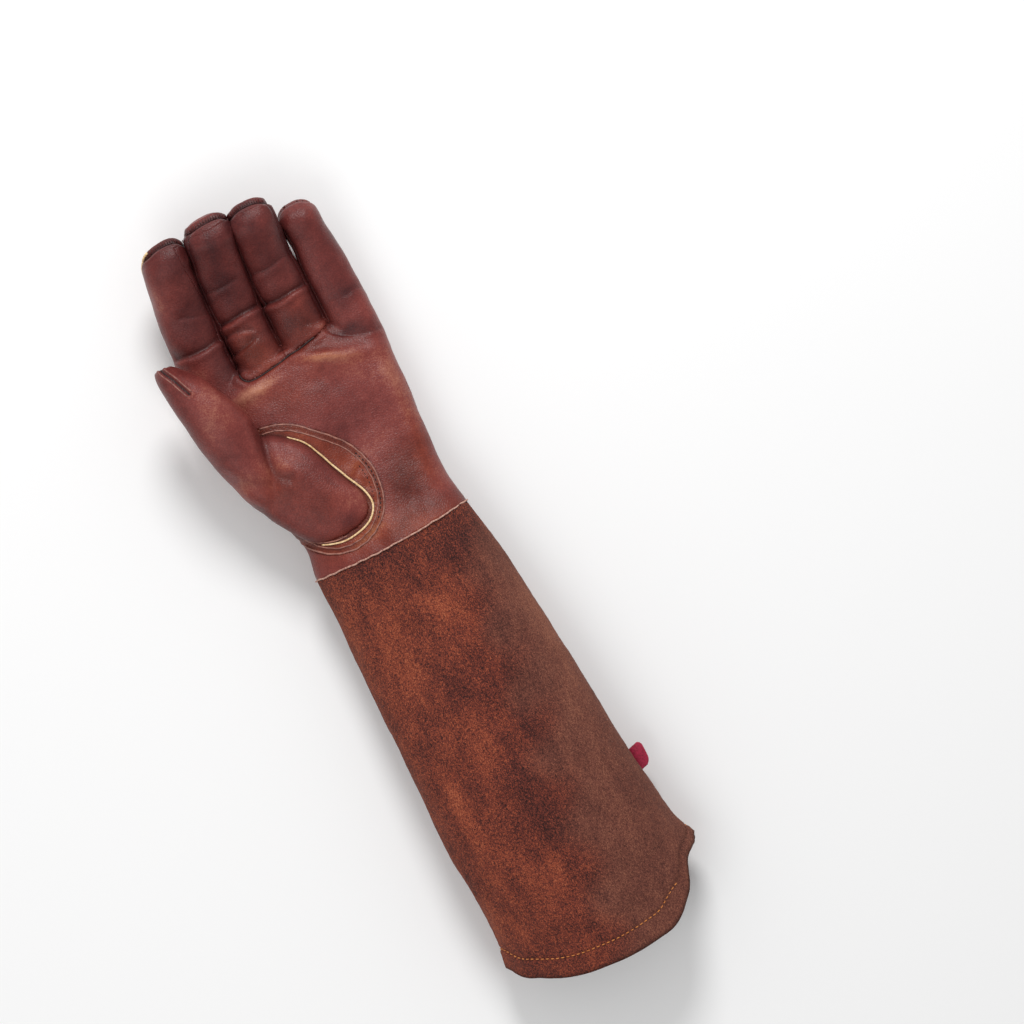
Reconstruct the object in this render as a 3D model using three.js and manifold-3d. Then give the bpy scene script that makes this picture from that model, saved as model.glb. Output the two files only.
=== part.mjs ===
// Long rose pruning gauntlet for the left hand, lying on its back with the palm up.
// Millimetres, +Z up, fingers towards +Y, thumb towards -X. The pieces are made with the middle of
// the wrist seam over y = 0 and the ground at z = 0, and the last lines move the origin to the
// middle of the glove's base. Every piece is a leather wall, and the hand and cuff are hollow.
import * as THREE from 'three';
import { mergeVertices } from 'three/addons/utils/BufferGeometryUtils.js';
import Module from 'manifold-3d';

const wasm = await Module();
wasm.setup();

// Leather and seams
const grainWall = 1.5;
const suedeWall = 1.8;
const patchWall = 1.2;
const seamGap = 0.3;
const weltDiameter = 1.7;
const edgeDiameter = 1.4;

// Fingers, numbered from the thumb's side. Free length runs from the fork to the tip along the
// finger, curl is the pitch of the tip, and drift is the sideways lean of the tip.
const fingers = [
  { name: 'index', width: 28.4, taper: 0.9, depth: 23, free: 86, curl: 37, drift: 0.33 },
  { name: 'middle', width: 24.6, taper: 1.07, depth: 23, free: 89, curl: 42, drift: 0.3 },
  { name: 'ring', width: 26.6, taper: 0.9, depth: 23, free: 87, curl: 42, drift: 0.1 },
  { name: 'little', width: 23.6, taper: 0.86, depth: 21, free: 70, curl: 22, drift: -0.06 },
];
const forkGap = 0.8;
const fingerRoot = 22; // straight length of a finger inside the palm
const gussetWidth = 10.4; // strip between the fronts and backs of neighbouring fingers

// Palm
const palmLength = 114; // wrist seam to the forks
const palmDepth = 34;
const palmWidth = fingers.reduce((sum, finger) => sum + finger.width, 3 * forkGap);
const palmLeftShare = 0.565; // share of the width on the thumb's side of the long axis

// Wrist seam, which the hand and the cuff share
const wristWidth = 88;
const wristDepth = 41;
const wristLift = 2.6;
const wristWave = 2.4; // how far the seam dips towards the cuff

// Thumb: its base is the egg-shaped ball set into the palm, and its free part is a tapered tube
const thumbReach = 134; // wrist seam to the thumb's tip
const weltStart = 0.44; // shares of the ball's outline between which its welt shows
const weltEnd = 0.91;
const thumbWidth = 29;
const thumbDepth = 30;
const ballLength = 68;
const ballWidth = 56;
const ballRise = 9; // crown of the ball above the palm
const patchLength = 79;
const patchWidth = 48;

// Cuff
const cuffLength = 246; // wrist seam to the lowest point of the hem
const hemWidth = 118;
const cuffDepth = 54;
const hemFold = 13; // turned-in band along the hem
const hemWall = 3.3; // two layers of suede, pressed
const hemRiseLeft = 21; // how far the hem climbs to the thumb-side seam
const hemRiseRight = 37; // how far it climbs to the little-finger seam

// Size tab, sewn in the little-finger seam of the cuff
const tabWidth = 13;
const tabReach = 7.2;
const tabRound = 2.2;
const tabWall = 1.2;
const tabAlong = 0.755; // share of the seam's length from the wrist

// Facets
const palmSides = 28;
const fingerSides = 14;
const thumbSides = 16;
const ballSides = 22;
const cuffSides = 36;
const weltSides = 6;

// Sections of the palm. Along is a share of palmLength, left and right are shares of palmWidth
// from the long axis, low and high are shares of palmDepth, and square is the corner exponent.
const palmTable = [
  { along: 0.13, left: 0.393, right: 0.393, low: 0.05, high: 1.14, square: 2.4 },
  { along: 0.26, left: 0.414, right: 0.39, low: 0.03, high: 1.07, square: 2.5 },
  { along: 0.44, left: 0.47, right: 0.4, low: 0, high: 1.02, square: 2.6 },
  { along: 0.62, left: 0.512, right: 0.415, low: 0, high: 1, square: 2.7 },
  { along: 0.79, left: 0.54, right: 0.42, low: 0, high: 0.95, square: 2.8 },
  { along: 0.91, left: 0.555, right: 0.423, low: 0.02, high: 0.87, square: 2.9 },
  { along: 0.98, left: 0.55, right: 0.42, low: 0.11, high: 0.77, square: 2.9 },
  { along: 1.015, left: 0.535, right: 0.41, low: 0.25, high: 0.66, square: 2.6 },
];

// Sections of the free thumb. Along is a share of thumbReach, left and right are shares of
// thumbWidth from the left edge of the palm, low and high are shares of thumbDepth.
const thumbTable = [
  { along: 0.3, left: -0.3, right: 0.62, low: 0.42, high: 1.28, square: 2 },
  { along: 0.39, left: -0.03, right: 0.74, low: 0.42, high: 1.44, square: 2.1 },
  { along: 0.48, left: 0.09, right: 0.76, low: 0.5, high: 1.56, square: 2.1 },
  { along: 0.57, left: 0.2, right: 0.76, low: 0.66, high: 1.7, square: 2.1 },
  { along: 0.66, left: 0.28, right: 0.74, low: 0.87, high: 1.84, square: 2.1 },
  { along: 0.74, left: 0.31, right: 0.66, low: 1, high: 1.93, square: 2.1 },
  { along: 0.82, left: 0.33, right: 0.48, low: 1.06, high: 1.95, square: 2.1 },
  { along: 0.9, left: 0.36, right: 0.27, low: 1.12, high: 1.93, square: 2.1 },
  { along: 0.96, left: 0.37, right: 0.04, low: 1.2, high: 1.86, square: 2.2 },
  { along: 0.99, left: 0.34, right: -0.08, low: 1.34, high: 1.72, square: 2.2 },
];

// Outline of the ball where it meets the palm. Across is a share of ballWidth and along is a share
// of ballLength, both from the ball's lowest point, anticlockwise seen from above.
const ballOutline = [
  { across: 0, along: 0 },
  { across: 0.2, along: 0.035 },
  { across: 0.315, along: 0.12 },
  { across: 0.325, along: 0.24 },
  { across: 0.235, along: 0.4 },
  { across: 0.13, along: 0.6 },
  { across: 0.05, along: 0.76 },
  { across: -0.12, along: 0.91 },
  { across: -0.36, along: 1 },
  { across: -0.56, along: 0.88 },
  { across: -0.62, along: 0.7 },
  { across: -0.6, along: 0.5 },
  { across: -0.49, along: 0.31 },
  { across: -0.35, along: 0.12 },
  { across: -0.17, along: 0.02 },
];
// Tiers of the ball. Height is a share of the way from the middle of the palm's thickness to the
// crown, and size is a share of the outline.
const ballTiers = [
  { height: -0.25, size: 0.8 },
  { height: 0.05, size: 0.96 },
  { height: 0.5, size: 1 },
  { height: 0.74, size: 0.94 },
  { height: 0.9, size: 0.72 },
  { height: 0.99, size: 0.36 },
];

// Outer edge of the crescent patch round the ball. Across is a share of patchWidth and along is a
// share of patchLength, from the patch's lowest point.
const patchEdge = [
  { across: -0.36, along: 0.99 },
  { across: -0.19, along: 0.975 },
  { across: 0.02, along: 0.915 },
  { across: 0.23, along: 0.8 },
  { across: 0.43, along: 0.67 },
  { across: 0.53, along: 0.555 },
  { across: 0.58, along: 0.44 },
  { across: 0.58, along: 0.33 },
  { across: 0.51, along: 0.18 },
  { across: 0.36, along: 0.07 },
  { across: 0.18, along: 0.015 },
  { across: 0, along: 0 },
  { across: -0.2, along: 0.03 },
  { across: -0.37, along: 0.1 },
  { across: -0.5, along: 0.2 },
];

// Seam round the fronts of the middle and ring fingers. Across is a share of palmWidth from the
// long axis, and along is a share of palmLength.
const frontSeam = [
  { across: -0.295, along: 1.12 },
  { across: -0.295, along: 1.0 },
  { across: -0.297, along: 0.975 },
  { across: -0.275, along: 0.948 },
  { across: -0.24, along: 0.943 },
  { across: -0.14, along: 0.952 },
  { across: -0.05, along: 0.965 },
  { across: 0.05, along: 0.98 },
  { across: 0.14, along: 0.995 },
  { across: 0.19, along: 1.012 },
  { across: 0.206, along: 1.05 },
  { across: 0.208, along: 1.12 },
];

// Sections of the cuff. Along is a share of the seam's length, left and right are shares of
// hemWidth from the long axis, and high is a share of cuffDepth.
const cuffTable = [
  { along: 0.12, left: 0.375, right: 0.408, high: 0.84, square: 2.3 },
  { along: 0.34, left: 0.385, right: 0.449, high: 0.93, square: 2.3 },
  { along: 0.56, left: 0.39, right: 0.485, high: 0.99, square: 2.3 },
  { along: 0.72, left: 0.395, right: 0.505, high: 1, square: 2.3 },
  { along: 0.84, left: 0.38, right: 0.533, high: 0.99, square: 2.2 },
  { along: 0.93, left: 0.383, right: 0.567, high: 0.95, square: 2.1 },
  { along: 1, left: 0.4, right: 0.6, high: 0.9, square: 2 },
];
const cuffSink = 4; // how far the cuff's round sections dip below the ground before they flatten

// Wide folds and dents of the upper side. Across, reach and half are shares of the width of the
// palm or the hem, and along is a share of the palm's or the cuff's length from the wrist seam.
// Reach is the fold's half length, half is its half width, turn is the angle of its length from +X
// in degrees, and depth is the share of the palm's or the cuff's depth that it sinks, or rises
// where it is negative.
const palmFolds = [
  { fold: 'hollow', across: 0.11, along: 0.54, reach: 0.32, half: 0.14, turn: 75, depth: 0.095 },
  { fold: 'below fingers', across: 0.32, along: 0.92, reach: 0.15, half: 0.055, turn: -20, depth: 0.06 },
  { fold: 'heel gather', across: 0.19, along: 0.12, reach: 0.1, half: 0.07, turn: 80, depth: 0.06 },
];
const cuffFolds = [
  { fold: 'valley', across: 0.17, along: 0.49, reach: 0.8, half: 0.076, turn: 88, depth: 0.065 },
  { fold: 'ridge', across: 0.32, along: 0.3, reach: 0.5, half: 0.076, turn: 84, depth: -0.037 },
  { fold: 'thumb side', across: -0.19, along: 0.25, reach: 0.27, half: 0.11, turn: 70, depth: 0.056 },
  { fold: 'near hem', across: -0.02, along: 0.75, reach: 0.32, half: 0.12, turn: 100, depth: 0.056 },
];

// Solids

function solidOf(geometry) {
  geometry.deleteAttribute('normal');
  geometry.deleteAttribute('uv');
  const merged = mergeVertices(geometry, 1e-4);
  return new wasm.Manifold(
    new wasm.Mesh({
      numProp: 3,
      vertProperties: merged.attributes.position.array,
      triVerts: new Uint32Array(merged.index.array),
    }),
  );
}

// A closed solid through rings of equal count, with a fan over each end, or with its last ring
// joined to its first.
function loft(rings, closed = false) {
  const count = rings[0].length;
  const points = rings.flat();
  const faces = [];
  for (let r = 0; r + 1 < rings.length + (closed ? 1 : 0); r++) {
    const next = ((r + 1) % rings.length) * count;
    for (let k = 0; k < count; k++) {
      const m = (k + 1) % count;
      faces.push(r * count + k, r * count + m, next + m, r * count + k, next + m, next + k);
    }
  }
  for (const end of closed ? [] : [0, rings.length - 1]) {
    const centre = new THREE.Vector3();
    rings[end].forEach((point) => centre.addScaledVector(point, 1 / count));
    const hub = points.push(centre) - 1;
    for (let k = 0; k < count; k++) {
      const a = end * count + k;
      const b = end * count + ((k + 1) % count);
      faces.push(...(end === 0 ? [b, a, hub] : [a, b, hub]));
    }
  }
  const geometry = new THREE.BufferGeometry().setFromPoints(points);
  geometry.setIndex(faces);
  const solid = solidOf(geometry);
  if (solid.volume() > 0) return solid;
  for (let k = 0; k < faces.length; k += 3) {
    [faces[k + 1], faces[k + 2]] = [faces[k + 2], faces[k + 1]];
  }
  geometry.setIndex(faces);
  return solidOf(geometry);
}

function joined(solids) {
  return solids.reduce((whole, solid) => whole.add(solid));
}

// The body with the most material in a small cube round a point.
function bodyAt(solid, point, reach = 3) {
  const cube = new THREE.BoxGeometry(2 * reach, 2 * reach, 2 * reach);
  const probe = solidOf(cube.translate(point.x, point.y, point.z));
  const bodies = solid.decompose();
  const shares = bodies.map((body) => body.intersect(probe).volume());
  return bodies[shares.indexOf(Math.max(...shares))];
}

function meshOf(solid, name, material) {
  const { numProp, vertProperties, triVerts } = solid.getMesh();
  const points = [];
  for (let k = 0; k < vertProperties.length; k += numProp) {
    points.push(new THREE.Vector3(...vertProperties.subarray(k, k + 3)));
  }
  const geometry = new THREE.BufferGeometry().setFromPoints(points);
  geometry.setIndex(new THREE.BufferAttribute(triVerts, 1));
  geometry.computeVertexNormals();
  const mesh = new THREE.Mesh(geometry, material);
  mesh.name = name;
  return mesh;
}

// A vertical wall of a given thickness over a line drawn in plan.
function curtain(line, low, high, thickness) {
  return loft(
    line.map((point, k) => {
      const next = line[Math.min(k + 1, line.length - 1)];
      const before = line[Math.max(k - 1, 0)];
      const side = new THREE.Vector3(before.y - next.y, next.x - before.x, 0);
      side.normalize().multiplyScalar(thickness / 2);
      return [
        [1, low],
        [1, high],
        [-1, high],
        [-1, low],
      ].map(([way, z]) => new THREE.Vector3(point.x + way * side.x, point.y + way * side.y, z));
    }),
  );
}

function prism(outline, low, high) {
  return loft([low, high].map((z) => outline.map((p) => new THREE.Vector3(p.x, p.y, z))));
}

// A round welt along a 3D line, with its facets turned by a direction that the line never takes.
function welt(line, diameter, upright, closed = false) {
  const path = new THREE.CatmullRomCurve3(line, closed, 'centripetal');
  const steps = Math.round(path.getLength() / (5 * diameter));
  const rings = Array.from({ length: closed ? steps : steps + 1 }, (_, k) => {
    const point = path.getPointAt(k / steps);
    const tangent = path.getTangentAt(k / steps);
    const side = upright.clone().cross(tangent).normalize();
    const up = tangent.cross(side);
    return Array.from({ length: weltSides }, (_, n) => {
      const angle = (2 * Math.PI * n) / weltSides;
      return point
        .clone()
        .addScaledVector(side, (Math.cos(angle) * diameter) / 2)
        .addScaledVector(up, (Math.sin(angle) * diameter) / 2);
    });
  });
  return loft(rings, closed);
}

// Curves

function between(a, b, share) {
  return a + (b - a) * share;
}

function ease(low, high, value) {
  return THREE.MathUtils.smoothstep(value, low, high);
}

function outlineOf(rows, origin, width, length, count, closed) {
  const points = rows.map(
    (row) => new THREE.Vector3(origin.x + row.across * width, origin.y + row.along * length, 0),
  );
  const path = new THREE.CatmullRomCurve3(points, closed, 'centripetal');
  const line = path.getSpacedPoints(count);
  return closed ? line.slice(0, -1) : line;
}

// A closed plan outline moved outwards by a distance.
function widened(outline, distance) {
  return outline.map((point, k) => {
    const next = outline[(k + 1) % outline.length];
    const before = outline[(k + outline.length - 1) % outline.length];
    const out = new THREE.Vector3(next.y - before.y, before.x - next.x, 0).normalize();
    return point.clone().addScaledVector(out, distance);
  });
}

// The folds in millimetres, with y from the wrist seam.
function foldsOf(table, width, length, depth) {
  return table.map((row) => ({
    x: row.across * width,
    y: row.along * length,
    reach: row.reach * width,
    half: row.half * width,
    turn: THREE.MathUtils.degToRad(row.turn),
    depth: row.depth * depth,
  }));
}

const folds = [
  ...foldsOf(palmFolds, palmWidth, palmLength, palmDepth),
  ...foldsOf(cuffFolds, hemWidth, -cuffLength, cuffDepth),
];

// How far the folds sink the upper side at a point of the plan.
function sinkAt(x, y) {
  return folds.reduce((sum, fold) => {
    const along = (x - fold.x) * Math.cos(fold.turn) + (y - fold.y) * Math.sin(fold.turn);
    const aside = (y - fold.y) * Math.cos(fold.turn) - (x - fold.x) * Math.sin(fold.turn);
    return sum + fold.depth * Math.exp(-((along / fold.reach) ** 2) - (aside / fold.half) ** 2);
  }, 0);
}

// A ring at one station of the palm, thumb or cuff. A section holds y, left, right, low, high and
// square in millimetres, bow shifts y along the section, folded lets the folds sink its upper
// side, and inset draws the ring in by a wall.
function ringOf(section, sides, inset) {
  const middle = (section.right + section.left) / 2;
  const half = (section.right - section.left) / 2;
  const level = (section.high + section.low) / 2;
  const rise = (section.high - section.low) / 2;
  return Array.from({ length: sides }, (_, k) => {
    const angle = (2 * Math.PI * k) / sides;
    const round = (value) => Math.sign(value) * Math.abs(value) ** (2 / section.square);
    const across = round(Math.cos(angle));
    const up = round(Math.sin(angle));
    const x = middle + across * (half - inset);
    const y = section.y + section.bow(across);
    const sunk = section.folded ? sinkAt(x, y) * Math.max(up, 0) : 0;
    return new THREE.Vector3(x, y, Math.max(level + up * (rise - inset) - sunk, inset));
  });
}

function tube(sections, sides, inset) {
  return loft(sections.map((section) => ringOf(section, sides, inset)));
}

const upwards = new THREE.Vector3(0, 0, 1);
const downwards = new THREE.Vector3(0, 0, -1);
const endwards = new THREE.Vector3(0, 1, 0);
const rightwards = new THREE.Vector3(1, 0, 0);
const leftwards = new THREE.Vector3(-1, 0, 0);

// Sections at the wrist, shared by the hand and the cuff

const waveTilt = 0.45; // share of the wave by which the seam slants
const waveMiddle = 0.6; // share of the wave that the seam's middle lies nearer the cuff
const wristDip = (across) => wristWave * (waveTilt * across + across ** 2 - waveMiddle);
const wrist = {
  y: 0,
  left: -wristWidth / 2,
  right: wristWidth / 2,
  low: wristLift,
  high: wristLift + wristDepth,
  square: 2.3,
};

// The palm's sections in millimetres, with a share of the wrist's wave left in each.
const palmSections = [
  wrist,
  ...palmTable.map((row) => ({
    y: row.along * palmLength,
    left: -row.left * palmWidth,
    right: row.right * palmWidth,
    low: row.low * palmDepth,
    high: row.high * palmDepth,
    square: row.square,
  })),
];

const waveFade = (y) => 1 - ease(0, palmLength / 4, y);

// The palm as a solid, drawn in by a wall, and run on past the wrist where it is a hollow.
function palmBody(inset, runOn = 0) {
  const last = palmSections.length - 1;
  const sections = palmSections.map((section) => ({ ...section }));
  sections[0].y = seamGap / 2;
  sections[last].y -= inset;
  if (runOn > 0) sections.unshift({ ...sections[0], y: -runOn });
  const bowed = sections.map((section) => ({
    ...section,
    bow: (across) => wristDip(across) * waveFade(section.y),
    folded: true,
  }));
  return tube(bowed, palmSides, inset);
}

// Fingers

const fingerLevel = 0.46 * palmDepth; // height of a finger's centreline at its root
const tipLength = 0.52; // length of the tip's dome as a share of the finger's width
const fingerRound = 0.87; // flattens a finger's section where it is under 1
let edge = -palmLeftShare * palmWidth;
for (const finger of fingers) {
  finger.x = edge + finger.width / 2;
  edge += finger.width + forkGap;
}

// How much of a finger's curl is reached at a share of its free length.
const curlTable = [
  { along: 0, bend: 0 },
  { along: 0.25, bend: 0.32 },
  { along: 0.5, bend: 0.66 },
  { along: 0.75, bend: 0.92 },
  { along: 1, bend: 1 },
];

function curlAt(share) {
  const k = Math.max(curlTable.findIndex((row) => row.along >= share), 1);
  const [a, b] = [curlTable[k - 1], curlTable[k]];
  return between(a.bend, b.bend, (share - a.along) / (b.along - a.along));
}

// The point and directions of a finger's centreline at a length from its root.
function spineAt(finger, length) {
  const point = new THREE.Vector3(finger.x, palmLength - fingerRoot, fingerLevel);
  const step = 1;
  let pitch = 0;
  for (let at = 0; at < length; at += step) {
    const share = THREE.MathUtils.clamp((at - fingerRoot) / finger.free, 0, 1);
    pitch = THREE.MathUtils.degToRad(finger.curl) * curlAt(share);
    const stride = Math.min(step, length - at);
    point.y += Math.cos(pitch) * stride;
    point.z += Math.sin(pitch) * stride;
  }
  const share = Math.max(length - fingerRoot, 0) / finger.free;
  point.x += finger.drift * finger.width * share ** 2;
  const up = new THREE.Vector3(0, -Math.sin(pitch), Math.cos(pitch));
  return { point, up, share };
}

const tipRound = 2.5; // corner exponent of the fingertip in plan
const gussetEnd = 0.7; // share of the tip's dome where the gusset has run to a point

// Stations along a finger: the length, and the shares of the full section and of the gusset's
// width that are left there.
function stationsOf(finger, inset) {
  const end = fingerRoot + finger.free - inset;
  const dome = finger.width * tipLength - inset;
  const straight = [0, 0.25, 0.45, 0.62, 0.8, 1];
  const domed = [0.5, 0.8, 0.96];
  return [
    ...straight.map((share) => ({ length: share * (end - dome), size: 1, seam: 1 })),
    ...domed.map((share) => {
      const size = (1 - share ** tipRound) ** (1 / tipRound);
      return { length: end - dome + share * dome, size, seam: share < gussetEnd ? size : 0 };
    }),
  ];
}

function halfWidth(finger, share) {
  return (finger.width / 2) * between(1, finger.taper, ease(0.1, 0.9, share));
}

function fingerBody(finger, inset) {
  const rings = stationsOf(finger, inset).map(({ length, size }) => {
    const { point, up, share } = spineAt(finger, length);
    const wide = (halfWidth(finger, share) - inset) * size;
    const thick = (finger.depth / 2 - inset) * size;
    return Array.from({ length: fingerSides }, (_, k) => {
      const angle = (2 * Math.PI * (k + 0.5)) / fingerSides;
      const round = (value) => Math.sign(value) * Math.abs(value) ** fingerRound;
      const spot = point.clone().addScaledVector(up, thick * round(Math.sin(angle)));
      spot.x += wide * round(Math.cos(angle));
      return spot;
    });
  });
  return loft(rings);
}

const cutFrom = 0.9 * fingerRoot; // where the cuts of a finger's side walls start

// A thin sheet along a finger that cuts its side walls. Level is the height of the cut as a
// multiple of half the gusset's width, and from and to are shares of the finger's half width.
function fingerCut(finger, level, from, to) {
  const stations = stationsOf(finger, 0).filter(({ length }) => length > cutFrom);
  const last = stations[stations.length - 1];
  const past = { ...last, length: last.length + grainWall };
  const all = [{ length: cutFrom, seam: 1 }, ...stations, past];
  return loft(
    all.map(({ length, seam }) => {
      const { point, up, share } = spineAt(finger, length);
      const reach = halfWidth(finger, share) + seamGap;
      const height = (level * gussetWidth * seam) / 2;
      return [
        [from, -1],
        [to, -1],
        [to, 1],
        [from, 1],
      ].map(([side, way]) => {
        const spot = point.clone().addScaledVector(up, height + (way * seamGap) / 2);
        spot.x += side * reach;
        return spot;
      });
    }),
  );
}

// A level sheet through the palm, between two values of x and of y.
function levelCut(height, left, right, start, end) {
  const sheet = new THREE.BoxGeometry(right - left, end - start, seamGap);
  return solidOf(sheet.translate((left + right) / 2, (start + end) / 2, height));
}

// Thumb

const palmLeft = -palmLeftShare * palmWidth;
const thumbLine = 0.97 * palmLeft; // x that the thumb's sections are measured from
const ballFoot = { x: -0.175 * palmWidth, y: 0.105 * palmLength };
const patchFoot = { x: -0.18 * palmWidth, y: 0.045 * palmLength };
const ballPlan = outlineOf(ballOutline, ballFoot, ballWidth, ballLength, ballSides, true);
const ballCentre = new THREE.Vector3();
ballPlan.forEach((point) => ballCentre.addScaledVector(point, 1 / ballPlan.length));

function thumbBody(inset, grown = 0) {
  const draw = inset - grown;
  const crown = onPalm(ballCentre.x, ballCentre.y).z + ballRise - draw;
  const foot = palmDepth / 2;
  const plan = widened(ballPlan, -draw);
  const ball = loft(
    ballTiers.map(({ height, size }) =>
      plan.map((point) => {
        const spot = ballCentre.clone().lerp(point, size);
        spot.z = between(foot, crown, height);
        return spot;
      }),
    ),
  );
  const sections = thumbTable.map((row) => ({
    bow: () => 0,
    y: row.along * thumbReach,
    left: thumbLine - row.left * thumbWidth,
    right: thumbLine + row.right * thumbWidth,
    low: row.low * thumbDepth,
    high: row.high * thumbDepth,
    square: row.square,
  }));
  const last = sections[sections.length - 1];
  sections[sections.length - 1] = { ...last, y: last.y - draw };
  return ball.add(tube(sections, thumbSides, draw));
}

// Hand

const handOuter = joined([palmBody(0), ...fingers.map((f) => fingerBody(f, 0))]);
const handInner = joined([
  palmBody(grainWall, palmLength / 10),
  ...fingers.map((f) => fingerBody(f, grainWall)),
]);
const handSkin = meshOf(handOuter, 'hand_skin');

// The point where a ray first meets a skin, lifted off the skin by a distance.
function onSkin(skin, from, way, lift = 0) {
  const [hit] = new THREE.Raycaster(from, way).intersectObject(skin);
  return hit.point.addScaledVector(hit.face.normal, lift);
}

function onPalm(x, y, lift) {
  return onSkin(handSkin, new THREE.Vector3(x, y, 2 * palmDepth), downwards, lift);
}

const thumbOuter = thumbBody(0);
const thumbInner = thumbBody(grainWall);
const handShell = handOuter.subtract(handInner).subtract(thumbInner);

const [index, middle, ring, little] = fingers;
const seamTop = fingerLevel + gussetWidth / 2;
const seamLow = fingerLevel - gussetWidth / 2;
const forkStart = palmLength - fingerRoot;
const cutEnd = palmLength * 1.03;
const frontLine = outlineOf(frontSeam, { x: 0, y: 0 }, palmWidth, palmLength, 22, false);
const forkX = ring.x - ring.width / 2 - forkGap / 2;
const forkLine = [1.12, 0.958].map((share) => new THREE.Vector3(forkX, share * palmLength, 0));
const handCuts = joined([
  levelCut(seamLow, -palmWidth, palmWidth, -palmLength, cutEnd),
  levelCut(seamTop, index.x, little.x, forkStart, cutEnd),
  ...fingers.map((finger) => fingerCut(finger, -1, -1, 1)),
  fingerCut(index, 1, 0, 1),
  fingerCut(middle, 1, -1, 1),
  fingerCut(ring, 1, -1, 1),
  fingerCut(little, 1, -1, 0),
  curtain(frontLine, seamTop, 2 * palmDepth, seamGap),
  curtain(forkLine, seamTop, 2 * palmDepth, seamGap),
]);
const handPieces = handShell.subtract(handCuts);

// A point in the wall of a finger: side and lift are shares of its half width and half depth.
function wallPoint(finger, share, side, lift) {
  const { point, up } = spineAt(finger, fingerRoot + share * finger.free);
  point.x += side * (halfWidth(finger, share) - grainWall / 2);
  return point.addScaledVector(up, lift * (finger.depth / 2 - grainWall / 2));
}

const palmPanel = bodyAt(handPieces, onPalm(palmWidth * 0.25, palmLength * 0.5));
const backPanel = bodyAt(handPieces, new THREE.Vector3(0, palmLength * 0.5, grainWall / 2));
const halfway = 0.4; // share of a finger's free length where its pieces are picked out
const middleFront = bodyAt(handPieces, wallPoint(middle, halfway, 0, 1));
const ringFront = bodyAt(handPieces, wallPoint(ring, halfway, 0, 1));
const gussets = [index, middle, ring].map((finger) => ({
  name: 'gusset_' + finger.name + '_' + fingers[fingers.indexOf(finger) + 1].name,
  solid: bodyAt(handPieces, wallPoint(finger, halfway, 1, 0), grainWall),
}));

const handGrown = joined([palmBody(-seamGap), ...fingers.map((f) => fingerBody(f, -seamGap))]);
const thumbPiece = bodyAt(
  thumbOuter.subtract(thumbInner).subtract(handGrown),
  new THREE.Vector3(thumbLine, thumbReach * 0.8, thumbDepth * 1.95),
  4 * grainWall,
);

// Crescent patch and the cream welt between it and the ball

const patchPlan = outlineOf(patchEdge, patchFoot, patchWidth, patchLength, 30, false);
const underThumb = new THREE.Vector3(palmLeft, ballCentre.y, 0);
const weltBed = weltDiameter + 5 * seamGap; // strip beside the ball that the welt lies in
const patchFrom = patchPlan[Math.round(patchPlan.length / 2)];
const patchShell = palmBody(-seamGap - patchWall).subtract(palmBody(-seamGap));
const patch = bodyAt(
  patchShell
    .intersect(prism([...patchPlan, underThumb], fingerLevel, 3 * palmDepth))
    .subtract(prism(widened(ballPlan, weltBed), 0, 3 * palmDepth))
    .subtract(thumbBody(0, seamGap)),
  onPalm(patchFrom.x - patchWall, patchFrom.y, patchWall),
);

const besideSeam = weltDiameter / 2 + seamGap;

// The visible run of the ball's seam: from under the thumb, round the right and the foot.
function ballSeam(distance) {
  const loop = widened(ballPlan, distance);
  const top = Math.round(loop.length * weltStart);
  const foot = Math.round(loop.length * weltEnd);
  return [...loop.slice(0, top).reverse(), ...loop.slice(foot).reverse()];
}

const thumbWelt = welt(
  ballSeam(besideSeam).map(({ x, y }) => onPalm(x, y, besideSeam + seamGap)),
  weltDiameter,
  upwards,
);

// Welts in the seam down the index side of the hand and round the wrist

function onIndexSide(y, z, lift) {
  return onSkin(handSkin, new THREE.Vector3(-palmWidth, y, z), rightwards, lift);
}

// Shares of the index finger's free length and of the palm's length where the welt is laid down.
const fingerStops = [0.99, 0.96, 0.91, 0.84, 0.7, 0.55, 0.4, 0.25, 0.1];
const palmStops = [0.95, 0.84, 0.72, 0.6, 0.48, 0.36, 0.24, 0.13, 0.04];
const tipStart = 1 - (index.width * tipLength) / index.free;
const sideLine = [
  ...fingerStops.map((share) => {
    const { point, up } = spineAt(index, fingerRoot + share * index.free);
    const left = 1 - Math.max(share - tipStart, 0) / (1 - tipStart);
    return point.addScaledVector(up, (-left * gussetWidth) / 2);
  }),
  ...palmStops.map((share) => ({ y: share * palmLength, z: seamLow })),
].map(({ y, z }) => onIndexSide(y, z, besideSeam + 2 * seamGap));
const sideWelt = welt(sideLine, weltDiameter, upwards);

const wristLoop = ringOf(
  { ...wrist, bow: (across) => wristDip(across) },
  palmSides,
  -edgeDiameter / 2 - seamGap,
);
const wristWelt = welt(wristLoop, edgeDiameter, endwards, true);

// Cuff

const hemBend = 2.6; // exponent of the hem's climb to the thumb side
const hemCorner = 0.42; // share of the half width where the climb to the other side starts

function hemRise(across) {
  if (across < 0) return hemRiseLeft * (-across) ** hemBend;
  return hemRiseRight * ease(hemCorner, 1, across);
}

const cuffRows = [
  { ...wrist, along: 0 },
  ...cuffTable.map((row) => ({
    along: row.along,
    left: -row.left * hemWidth,
    right: row.right * hemWidth,
    low: -cuffSink,
    high: row.high * cuffDepth,
    square: row.square,
  })),
];

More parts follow.
